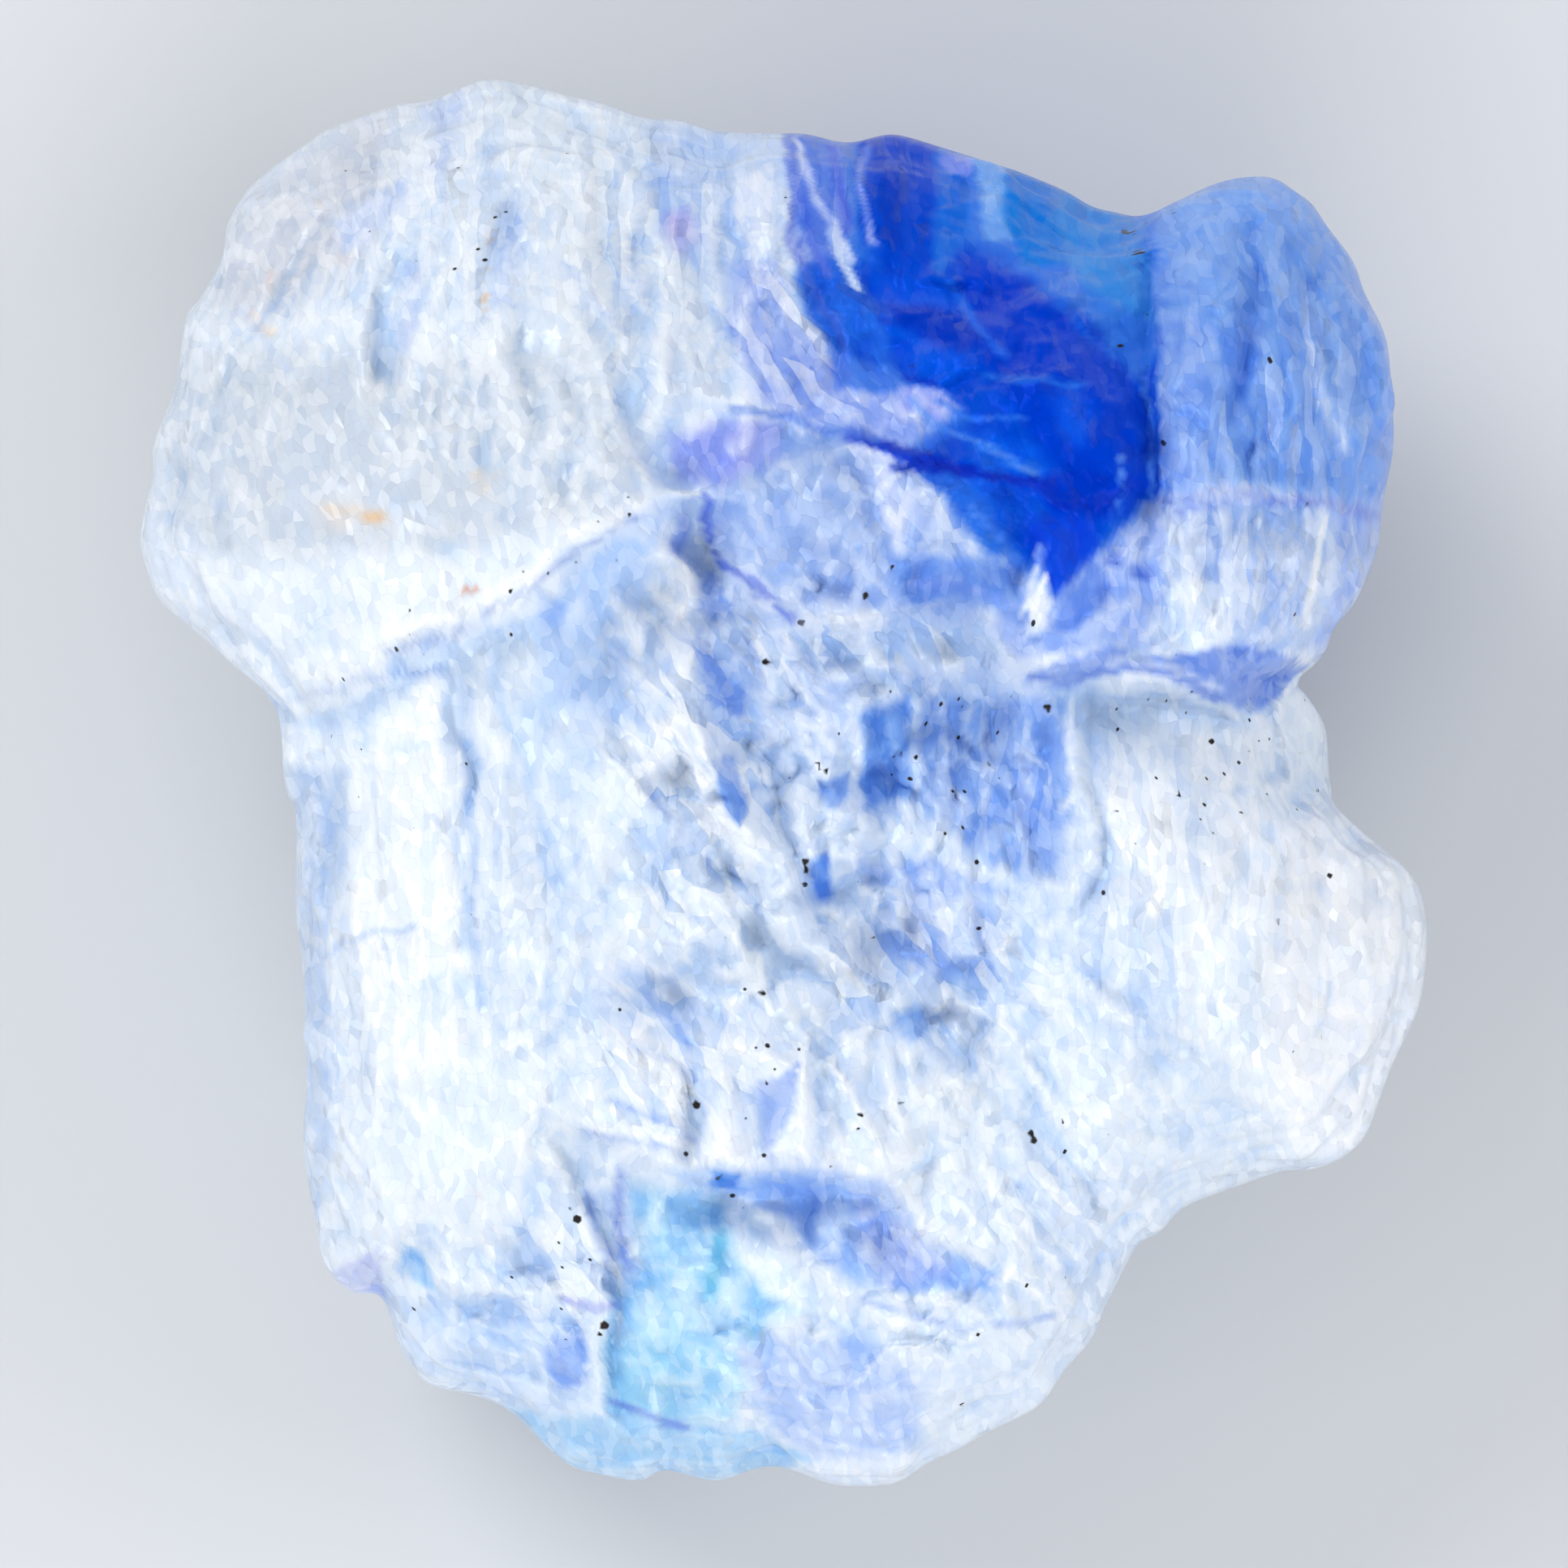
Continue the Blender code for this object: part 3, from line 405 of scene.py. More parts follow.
# Thin lines along cracks and edges: colour, half width in millimetres, strength, and its course in pixels
LINES = [
    "10,50,196 0.12 0.9 1040,544 1076,552 1110,566 1150,572 1216,590 1300,604",
    "40,112,232 0.1 0.7 1170,352 1196,400 1240,440",
    "50,124,232 0.08 0.6 1212,470 1262,480 1330,476",
    "40,110,230 0.08 0.6 1300,380 1340,420 1384,450",
    "60,126,236 0.07 0.7 1150,500 1200,520 1262,522",
    "96,118,218 0.09 0.6 971,176 979,240 972,300 984,330",
    "226,228,252 0.1 0.7 984,176 1002,244 1038,304 1052,330",
    "70,96,214 0.11 0.8 1028,180 1036,240 1046,296",
    "80,112,222 0.1 0.8 990,246 1000,300 1024,346",
    "150,160,238 0.09 0.7 1068,186 1060,240 1076,310",
    "20,50,180 0.1 0.8 1062,545 1100,556 1135,562 1190,586 1240,594 1292,600",
    "14,44,176 0.1 0.8 1095,578 1150,582 1200,578",
    "20,60,190 0.09 0.7 1086,400 1104,404 1112,398",
    "10,44,180 0.08 0.7 1112,470 1150,486",
    "90,150,240 0.09 0.7 1120,500 1150,530 1210,552 1280,590",
    "86,140,236 0.08 0.6 1190,625 1230,660 1262,716",
    "120,170,240 0.07 0.6 1376,560 1380,610 1374,630",
    "110,160,240 0.07 0.6 1410,470 1414,560 1412,620",
    "210,224,250 0.1 0.8 1024,290 1034,320 1050,348 1062,362",
    "70,100,205 0.1 0.7 985,300 1000,350 1030,400 1046,446",
    "120,140,226 0.08 0.6 976,180 984,240 976,300 990,330",
    "90,130,222 0.09 0.7 900,512 985,522 1030,540 1085,548",
    "120,150,228 0.1 0.7 1112,722 1180,724 1236,745 1250,752",
    "60,96,200 0.16 0.8 1362,696 1378,697",
    "60,96,200 0.14 0.8 1392,709 1416,714",
    "104,134,214 0.1 0.8 1262,838 1320,842 1350,832 1400,828 1440,836 1500,862",
    "130,150,220 0.1 0.8 1412,626 1500,608 1560,618 1640,626 1700,640",
    "150,168,218 0.08 0.6 480,806 560,786 640,744 720,684 790,640",
    "252,254,255 0.16 0.8 470,790 560,764 640,722 720,668 800,622",
    "176,196,232 0.1 0.7 330,870 400,858 500,830 560,824",
    "180,202,236 0.1 0.6 396,1182 430,1158 520,1140",
    "246,250,255 0.09 0.8 823,620 826,700 818,720",
    "160,180,232 0.09 0.8 880,1070 850,1030 812,990 790,930",
    "252,254,255 0.12 0.9 868,1060 836,1010 804,960 784,900",
    "252,254,255 0.12 0.9 750,1440 800,1380 860,1345",
    "252,254,255 0.1 0.9 752,1360 830,1350 900,1300",
    "252,254,255 0.1 0.9 770,1290 840,1300 900,1330",
    "252,254,255 0.13 0.9 1001,1290 1040,1356 1092,1448",
    "252,254,255 0.1 0.9 997,1300 980,1370 964,1430",
    "252,254,255 0.1 0.9 716,1376 780,1392 850,1410",
    "176,196,238 0.09 0.8 720,1388 790,1404 848,1420",
    "176,196,238 0.09 0.8 752,1350 810,1372 860,1402",
    "180,200,240 0.09 0.8 776,1284 830,1306 862,1332",
    "180,200,240 0.09 0.8 790,1220 830,1256 850,1290",
    "188,208,240 0.12 0.8 1012,1330 1010,1400 1004,1432",
    "188,208,240 0.1 0.8 926,1340 940,1390 944,1430",
    "252,254,255 0.1 0.9 1222,1452 1256,1500 1302,1560",
    "190,212,240 0.09 0.8 1228,1470 1262,1522 1296,1566",
    "252,254,255 0.1 0.9 1240,1560 1296,1612",
    "178,196,236 0.1 0.7 1030,1440 1090,1452 1130,1510 1170,1552",
    "140,162,226 0.1 0.8 770,1440 766,1500 776,1560",
    "150,172,230 0.09 0.7 730,1470 738,1520 762,1548",
    "120,150,222 0.09 0.8 750,1724 800,1740 850,1756",
    "236,246,253 0.09 0.8 902,1490 940,1550 990,1606 1010,1612",
    "170,190,234 0.1 0.7 1060,1600 1130,1620 1230,1632 1300,1620",
    "252,254,255 0.08 0.8 1316,880 1320,960 1310,1000",
    "252,254,255 0.08 0.7 1256,760 1270,720 1278,680",
    "190,208,238 0.09 0.7 700,330 740,390 790,430 770,470",
    "184,204,236 0.09 0.7 880,380 890,430 876,470",
    "200,214,238 0.09 0.6 300,380 330,420 370,470",
]

# Stains: place and half sizes in pixels, colour, and strength
STAINS = [
    (465, 643, 18, 11, (238, 172, 100), 1.0), (430, 632, 26, 7, (243, 205, 160), 0.8),
    (440, 640, 60, 24, (240, 222, 205), 0.5), (606, 592, 20, 9, (240, 208, 175), 0.7),
    (600, 608, 22, 6, (242, 214, 186), 0.5), (590, 731, 18, 4, (226, 140, 92), 0.8),
    (606, 320, 4, 40, (240, 205, 165), 0.7), (607, 375, 4, 16, (238, 190, 145), 0.8),
    (338, 345, 6, 14, (208, 165, 150), 0.7), (318, 398, 10, 9, (242, 200, 160), 0.8),
    (330, 412, 14, 8, (244, 210, 175), 0.8), (425, 325, 22, 8, (242, 222, 210), 0.5),
    (380, 262, 40, 14, (240, 228, 226), 0.5), (1440, 860, 24, 6, (238, 222, 205), 0.6),
    (840, 285, 18, 12, (196, 176, 226), 0.6), (575, 645, 90, 26, (226, 228, 232), 0.5),
    (595, 1470, 8, 10, (240, 208, 190), 0.5),
]

# Grains of dirt that stand out: place and radius in pixels
GRAINS = [
    (743, 650, 4), (779, 641, 4), (776, 650, 3), (635, 731, 4), (510, 757, 3), (945, 818, 5), (993, 1062, 5),
    (994, 1074, 4), (992, 1090, 4), (860, 1358, 6), (714, 1500, 6), (706, 1484, 4), (747, 1630, 6),
    (740, 1640, 4), (940, 1222, 5), (1230, 1160, 4), (1570, 1135, 4), (1635, 1080, 4), (1640, 1064, 3),
    (1272, 1402, 5), (1268, 1392, 4), (1310, 1416, 3), (1405, 315, 4), (1385, 289, 4), (1397, 290, 3),
    (1560, 450, 4), (1430, 551, 4), (1098, 704, 4), (1066, 738, 5), (1290, 875, 5), (1490, 915, 4),
    (988, 770, 5), (1018, 952, 4), (1060, 1370, 4), (1110, 1357, 4), (945, 1330, 4), (1605, 627, 4),
    (1185, 1728, 3), (1205, 1640, 3), (512, 1612, 3), (1075, 1155, 3), (765, 1242, 3),
]

# Where the finest dirt is thick: centre and half sizes in pixels, and thickness
DUSTY = [
    (700, 690, 110, 34, 0.9), (520, 795, 60, 24, 0.9), (930, 1330, 110, 70, 0.7), (1290, 1400, 50, 30, 0.8),
    (1180, 960, 240, 240, 0.28), (1430, 960, 200, 160, 0.4), (1400, 300, 40, 30, 0.7),
    (1412, 450, 12, 180, 0.6), (960, 1440, 200, 60, 0.35), (700, 1560, 100, 90, 0.3),
    (570, 270, 160, 120, 0.25), (1500, 900, 110, 50, 0.6), (460, 905, 60, 24, 0.6),
]

# The least thickness of dirt anywhere, and its grains: spacing, and least and most radius in millimetres
LEAST_DUST = 0.02
DUST_SIZES = [(0.8, 0.03, 0.09, 61), (0.45, 0.025, 0.06, 65)]

# Fine facets that differ in tone and tilt: width, length and turn in millimetres and degrees, the mark they
# follow (Red is upright, Green is slanted, and None is everywhere), how strongly they colour, and how
# steeply they tilt
FACETS = [
    (0.36, 2.6, 0, "Red", 0.6, 0.8), (0.46, 1.6, 36, "Green", 0.70, 1.1), (0.26, 0.45, 15, None, 0.20, 0.40),
]
CLOUD_SHADE = (208, 222, 240)

# Where colour follows fine upright streaks and slanted shards: centre and half sizes in pixels, and strength
UPRIGHT = [
    (570, 260, 110, 150, 0.6), (800, 280, 120, 150, 0.7), (1560, 480, 150, 180, 0.8),
    (1230, 980, 110, 140, 0.5), (520, 1150, 200, 330, 0.35), (1440, 1100, 160, 220, 0.6),
    (1500, 700, 160, 110, 0.6), (1080, 260, 130, 130, 0.7),
]
SLANTED = [
    (870, 960, 120, 230, 1.0), (820, 1300, 140, 130, 0.8), (1130, 1540, 150, 60, 0.4),
    (1000, 420, 130, 110, 0.9), (1060, 800, 190, 70, 0.7), (1270, 1500, 110, 110, 0.5),
    (1220, 600, 170, 110, 0.6), (1130, 1200, 170, 110, 0.9), (700, 1560, 110, 110, 0.7),
]


def numbers(word):
    """The numbers that a word holds, with commas between them."""
    return tuple(float(number) for number in word.split(","))


def places(text):
    return [numbers(word) for word in text.split()]


def random_at(cells, seed):
    """A repeatable number from 0 to 1 for each whole-numbered cell."""
    keys = cells.astype(np.int64).astype(np.uint64)
    mixed = np.full(len(keys), seed * 2654435761 + 97, np.uint64)
    for axis in range(keys.shape[1]):
        mixed = (mixed ^ keys[:, axis]) * np.uint64(6364136223846793005) + np.uint64(1442695040888963407)
        mixed ^= mixed >> np.uint64(29)
    return ((mixed >> np.uint64(20)) & np.uint64(0xFFFFF)).astype(float) / 0xFFFFF


def noise(points, seed=0):
    """Smooth noise from -1 to 1, at points in two or three dimensions."""
    cells = np.floor(points)
    part = points - cells
    part = part * part * (3 - 2 * part)
    total = np.zeros(len(points))
    for corner in itertools.product((0, 1), repeat=points.shape[1]):
        weight = np.prod(np.where(corner, part, 1 - part), axis=1)
        total += weight * random_at(cells + corner, seed)
    return 2 * total - 1


def layered_noise(points, layers, seed=0):
    """Noise with finer and fainter layers added."""
    return sum(noise(points * 2.03**k, seed + k) / 2**k for k in range(layers))


def cleavage_blocks(points, seed):
    """Levels from -1 to 1 that are constant over box-shaped cells, as salt breaks along its cubes."""
    bent = points + 0.35 * np.stack([noise(points * 0.7, seed + k) for k in range(3)], axis=1)
    rows = np.floor(bent)
    bent[:, 0] += 0.5 * random_at(rows[:, 1:], seed + 11)
    return 2 * random_at(np.floor(bent), seed + 12) - 1


def smooth_step(low, high, values):
    part = np.clip((values - low) / (high - low), 0, 1)
    return part * part * (3 - 2 * part)


def outline_radius():
    """Angles round the stone and the outline's radius at each, by a smooth closed curve through OUTLINE."""
    corners = np.array(places(OUTLINE))
    corners *= WIDTH / np.ptp(corners[:, 0])
    before, after, beyond = (np.roll(corners, shift, axis=0) for shift in (1, -1, -2))
    curve = []
    for t in np.linspace(0, 1, 8, endpoint=False):
        curve.append(
            0.5 * (2 * corners + (after - before) * t
                   + (2 * before - 5 * corners + 4 * after - beyond) * t**2
                   + (3 * corners - before - 3 * after + beyond) * t**3)
        )
    curve = np.concatenate(curve)
    angles = np.arctan2(curve[:, 1], curve[:, 0])
    order = np.argsort(angles)
    return angles[order], np.hypot(*curve[order].T)


def softened(angles, radii, half_turn):
    """The outline's radius with its small bumps averaged out over half_turn radians each way."""
    offsets = np.linspace(-half_turn, half_turn, 25)
    return sum(np.interp(angles + o, angles, radii, period=2 * np.pi) for o in offsets) / len(offsets)


def oval_distance(x, y, centre_x, centre_y, half_width, half_length, turn):
    """0 in the middle of a turned oval, and 1 on its edge."""
    c, s = np.cos(np.radians(turn)), np.sin(np.radians(turn))
    across = (x - centre_x) * c + (y - centre_y) * s
    along = (y - centre_y) * c - (x - centre_x) * s
    return np.hypot(across / half_width, along / half_length)


def plates(x, y, width, length, turn, seed):
    """Levels and tilts, from about -1 to 1, of broken plates with a random middle each."""
    c, s = np.cos(np.radians(turn)), np.sin(np.radians(turn))
    u, v = (x * c + y * s) / width, (y * c - x * s) / length
    cell = np.floor(np.stack([u, v], axis=1))
    total, weights = np.zeros(len(x)), np.full(len(x), 1e-12)
    for corner in itertools.product((-1, 0, 1), repeat=2):
        near = cell + corner
        du = u - near[:, 0] - random_at(near, seed)
        dv = v - near[:, 1] - random_at(near, seed + 1)
        tilt_u, tilt_v, level = (2 * random_at(near, seed + k) - 1 for k in (2, 3, 4))
        weight = np.exp(-PLATE_SHARPNESS * (du * du + dv * dv))
        total += weight * (0.5 * level + 0.9 * tilt_u * du + 0.9 * tilt_v * dv)
        weights += weight
    return total / weights


def to_line(x, y, line):
    """Distance to a line of points, and on which side each place is: 1 on its right hand, -1 on its left."""
    best = np.full(x.shape, np.inf)
    side = np.ones(x.shape)
    for (ax, ay), (bx, by) in itertools.pairwise(line):
        ex, ey = bx - ax, by - ay
        t = np.clip(((x - ax) * ex + (y - ay) * ey) / (ex * ex + ey * ey), 0, 1)
        dx, dy = x - ax - t * ex, y - ay - t * ey
        distance = np.hypot(dx, dy)
        nearer = distance < best
        best = np.where(nearer, distance, best)
        side = np.where(nearer, np.sign(dx * ey - dy * ex), side)
    return best, side


def ends_fade(x, y, line, reach):
    """1 along the line, and 0 beyond its ends."""
    fade = np.ones(x.shape)
    for (ax, ay), (bx, by) in ((line[0], line[1]), (line[-1], line[-2])):
        ex, ey = bx - ax, by - ay
        past = -((x - ax) * ex + (y - ay) * ey) / np.hypot(ex, ey)
        near = 1 - smooth_step(2 * reach, 3 * reach, np.hypot(x - ax, y - ay))
        fade *= 1 - near * smooth_step(-0.4 * reach, 0.6 * reach, past)
    return fade


def ledge(x, y, line, drop, cliff, reach):
    """The ground falls off beside the line and rises again over the distance reach."""
    distance, side = to_line(x, y, line)
    side = side * np.sign(drop)
    fallen = np.where(side > 0, smooth_step(0, cliff, distance) * (1 - smooth_step(cliff, reach, distance)), 0)
    lip = 0.18 * (1 - smooth_step(0, np.where(side < 0, 0.35 * reach, cliff), distance))
    return abs(drop) * (lip - fallen) * ends_fade(x, y, line, 0.35 * reach)


def groove(x, y, line, depth, half_width):
    distance, _ = to_line(x, y, line)
    return -depth * np.clip(1 - distance / half_width, 0, 1) ** 1.3


def tooth(x, y, tip_x, tip_y, foot_x, foot_y, half_width, rise):
    """A pointed spike with a sharp crest from its foot to its tip."""
    ex, ey = tip_x - foot_x, tip_y - foot_y
    t = ((x - foot_x) * ex + (y - foot_y) * ey) / (ex * ex + ey * ey)
    across = abs((x - foot_x) * ey - (y - foot_y) * ex) / np.hypot(ex, ey)
    crest = 1 - across / (half_width * np.clip(1.05 - t, 0.05, 1.05))
    return np.where((t > -0.03) & (t < 1.05), rise * np.clip(crest, 0, 1), 0)


def ribs(x, y, spacing, length, turn, seed):
    """Sharp crests with soft troughs between them, from about -1 to 1."""
    c, s = np.cos(np.radians(turn)), np.sin(np.radians(turn))
    across, along = (x * c + y * s) / spacing, (y * c - x * s) / length
    bent = np.stack([across + 0.8 * noise(np.stack([across * 0.4, along * 1.7], axis=1), seed), along], axis=1)
    return 1 - 2.4 * abs(noise(bent, seed + 1)) - 0.5 * abs(noise(bent * 2.1, seed + 2))


def fine_relief(x, y):
    """Height of the ribs and small plates that the solid leaves out."""
    plan = np.stack([x, y], axis=1)
    x = x + 0.12 * noise(plan / 0.8, 81) + 0.05 * noise(plan / 0.3, 82)
    y = y + 0.12 * noise(plan / 0.8, 83) + 0.05 * noise(plan / 0.3, 84)
    relief = FINE_NOISE[0] * layered_noise(plan / FINE_NOISE[1], 3, 85)
    for number, (*oval, width, length, turn, height) in enumerate(CRACKLES.values()):
        share = 1 - smooth_step(0.7, 1.2, oval_distance(x, y, *oval))
        for step, (narrow, short, low) in enumerate(SMALL_PLATES):
            seed = 400 + 20 * number + 7 * step
            broken = plates(x, y, narrow * width, short * length, turn + 14 * step, seed)
            relief += low * height * share * broken
    for number, (*oval, spacing, length, turn, height) in enumerate(RIBS.values()):
        share = 1 - smooth_step(0.6, 1.15, oval_distance(x, y, *oval))
        relief += RIB_SHARE * height * share * ribs(x, y, spacing, length, turn, 700 + 9 * number)
    return relief


def front_relief(plan_x, plan_y):
    """Height of the front's lumps, hollows, ledges, grooves, teeth and plates over its swollen form."""
    plan = np.stack([plan_x, plan_y], axis=1)
    x = plan_x + sum(far * noise(plan / size, 71 + k) for k, (far, size) in enumerate(WANDERS))
    y = plan_y + sum(far * noise(plan / size, 73 + k) for k, (far, size) in enumerate(WANDERS))
    relief = FRONT_NOISE[0] * layered_noise(plan / FRONT_NOISE[1], 3, 75)
    for *oval, rise in LUMPS.values():
        relief += rise * np.clip(1 - oval_distance(x, y, *oval) ** 2, 0, 1)
    for *oval, depth in HOLLOWS.values():
        relief -= depth * (1 - smooth_step(0, 1.2, oval_distance(x, y, *oval)))
    for line, drop, cliff, reach in LEDGES.values():
        relief += ledge(x, y, places(line), drop, cliff, reach)
    for line, depth, half_width in GROOVES.values():
        relief += groove(x, y, places(line), depth, half_width)
    for values in TEETH:
        relief += tooth(plan_x, plan_y, *values)
    for number, (*oval, width, length, turn, height) in enumerate(CRACKLES.values()):
        share = 1 - smooth_step(0.75, 1.15, oval_distance(x, y, *oval))
        relief += height * share * plates(x, y, width, length, turn, 100 + 10 * number)
    return relief


def rim_level(x, y):
    """Height over the ground of the rim, where the front meets the back."""
    plan = np.stack([x, y], axis=1)
    waves = [high * noise(plan / size, 5 + k) for k, (high, size) in enumerate(RIM_WAVES)]
    return RIM_HEIGHT + RIM_TILT[0] * x + RIM_TILT[1] * y + waves[0] + waves[1]


def back_depth(x, y, rim):
    """Depth of the back under the rim: a bowl with flat breaks round it."""
    depth = -np.sqrt(1 - rim**BACK_FULLNESS) * BACK_DROP
    for turn, slope, middle in BREAKS:
        outward = x * np.cos(np.radians(turn)) + y * np.sin(np.radians(turn))
        depth = np.maximum(depth, slope * outward - middle)
    width, length, turn, height = BACK_PLATES
    off_flat = smooth_step(0.45, 0.6, rim) * (1 - smooth_step(0.88, 0.98, rim))
    depth += height * off_flat * plates(x, y, width, length, turn, 300)
    return np.minimum(depth, -BACK_CLEARANCE * smooth_step(0, 0.1, 1 - rim))


def stone_form(directions):
    """Points of the stone for directions from its middle."""
    x, y, z = directions.T
    rim = np.clip(np.hypot(x, y), 0, 1)
    turn = np.arctan2(y, x)
    angles, radii = outline_radius()
    sharp = np.interp(turn, angles, radii, period=2 * np.pi)
    soft = np.interp(turn, angles, softened(angles, radii, BUMPS_HALF_TURN), period=2 * np.pi)
    radius = soft + (sharp - soft) * smooth_step(BUMPS_TO, BUMPS_FROM, rim)
    px, py = rim * radius * np.cos(turn), rim * radius * np.sin(turn)
    relief = front_relief(px, py) + fine_relief(px, py)
    front = np.sqrt(1 - rim**FRONT_FULLNESS) * FRONT_RISE + relief * (1 - rim**9)
    height = np.where(z >= 0, front, back_depth(px, py, rim))
    return np.stack([px, py, rim_level(px, py) + height], axis=1)


def roughened(points, normals):
    """Moves the points along their normals by cleavage steps, on the sides and the back."""
    hidden = 1 - smooth_step(0.1, 0.8, normals[:, 2])
    sizes = enumerate(STEPS + FINE_STEPS)
    steps = sum(high * cleavage_blocks(points / size, 3 + 14 * k) for k, (high, size) in sizes)
    soft = BUMPS[0] * layered_noise(points / BUMPS[1], 3, 31)
    off_rim = smooth_step(0.6, 3.4, abs(points[:, 2] - rim_level(*points[:, :2].T)))
    off_ground = smooth_step(0.3, 2.2, points[:, 2])
    return points + normals * ((steps + soft) * hidden * off_rim * off_ground)[:, None]


def plan_place(px, py):
    """A pixel of the photograph as x and y in millimetres."""
    return (px - PHOTO_MIDDLE) * MM_PER_PIXEL, (PHOTO_MIDDLE - py) * MM_PER_PIXEL


def inside_distance(x, y, outline):
    """How far inside an outline a place lies, below 0 outside it."""
    corners = [plan_place(*numbers(corner)) for corner in outline]
    away, inside = np.full(x.shape, np.inf), np.zeros(x.shape, bool)
    for (ax, ay), (bx, by) in zip(corners, corners[1:] + corners[:1]):
        ex, ey = bx - ax, by - ay
        along = np.clip(((x - ax) * ex + (y - ay) * ey) / (ex * ex + ey * ey), 0, 1)
        away = np.minimum(away, np.hypot(x - ax - along * ex, y - ay - along * ey))
        crosses = (ay > y) != (by > y)
        inside ^= crosses & (x < ax + (y - ay) * ex / (ey if ey else 1))
    return np.where(inside, away, -away)


def spot_share(x, y, px, py, half_x, half_y):
    """1 in the middle of an oval spot of the photograph, 0 past its edge."""
    cx, cy = plan_place(px, py)
    away = np.hypot((x - cx) / (half_x * MM_PER_PIXEL), (y - cy) / (half_y * MM_PER_PIXEL))
    return 1 - smooth_step(0.35, 1.25, away)


def spots_share(x, y, spots):
    share = np.zeros(x.shape)
    for *spot, strength in spots:
        share = np.maximum(share, strength * spot_share(x, y, *spot))
    return share


def blended(colours, colour, share):
    return colours + (np.array(colour, float) - colours) * np.asarray(share)[:, None]


def linear(colours):
    """Colours from 0 to 255, as the shader takes them."""
    colours = np.clip(np.asarray(colours, float) / 255, 0, 1)
    return np.where(colours <= 0.04045, colours / 12.92, ((colours + 0.055) / 1.055) ** 2.4)


def evened(points, edges, rounds):
    """The points moved towards their neighbours, again and again."""
    first, second = edges.T
    count = np.bincount(edges.ravel(), minlength=len(points))[:, None]
    for _ in range(rounds):
        beside = np.stack([np.bincount(first, points[second, k], len(points))
                           + np.bincount(second, points[first, k], len(points)) for k in range(3)], axis=1)
        points = 0.5 * points + 0.5 * beside / count
    return points


def add_attribute(mesh, name, kind, values):
    attribute = mesh.attributes.new(name, kind, "POINT")
    slot = {"FLOAT_COLOR": "color", "FLOAT_VECTOR": "vector", "FLOAT": "value"}[kind]
    attribute.data.foreach_set(slot, values.astype(np.float32).ravel())


def dirt_share(x, y, dust):
    """How much of a place is covered by grains of dirt, at half on a grain's edge."""
    share = np.zeros(len(x))
    for px, py, radius in GRAINS:
        cx, cy = plan_place(px, py)
        share = np.maximum(share, 1 - 0.5 * np.hypot(x - cx, y - cy) / (radius * MM_PER_PIXEL))
    for cell_size, smallest, largest, seed in DUST_SIZES:
        cell = np.floor(np.stack([x, y], axis=1) / cell_size)
        for corner in itertools.product((-1, 0, 1), repeat=2):
            near = cell + corner
            gap = np.hypot(x - (near[:, 0] + random_at(near, seed)) * cell_size,
                           y - (near[:, 1] + random_at(near, seed + 1)) * cell_size)
            radius = smallest + (largest - smallest) * random_at(near, seed + 2) ** 2
            there = random_at(near, seed + 3) < dust
            share = np.maximum(share, np.where(there, 1 - 0.5 * gap / radius, 0))
    return share


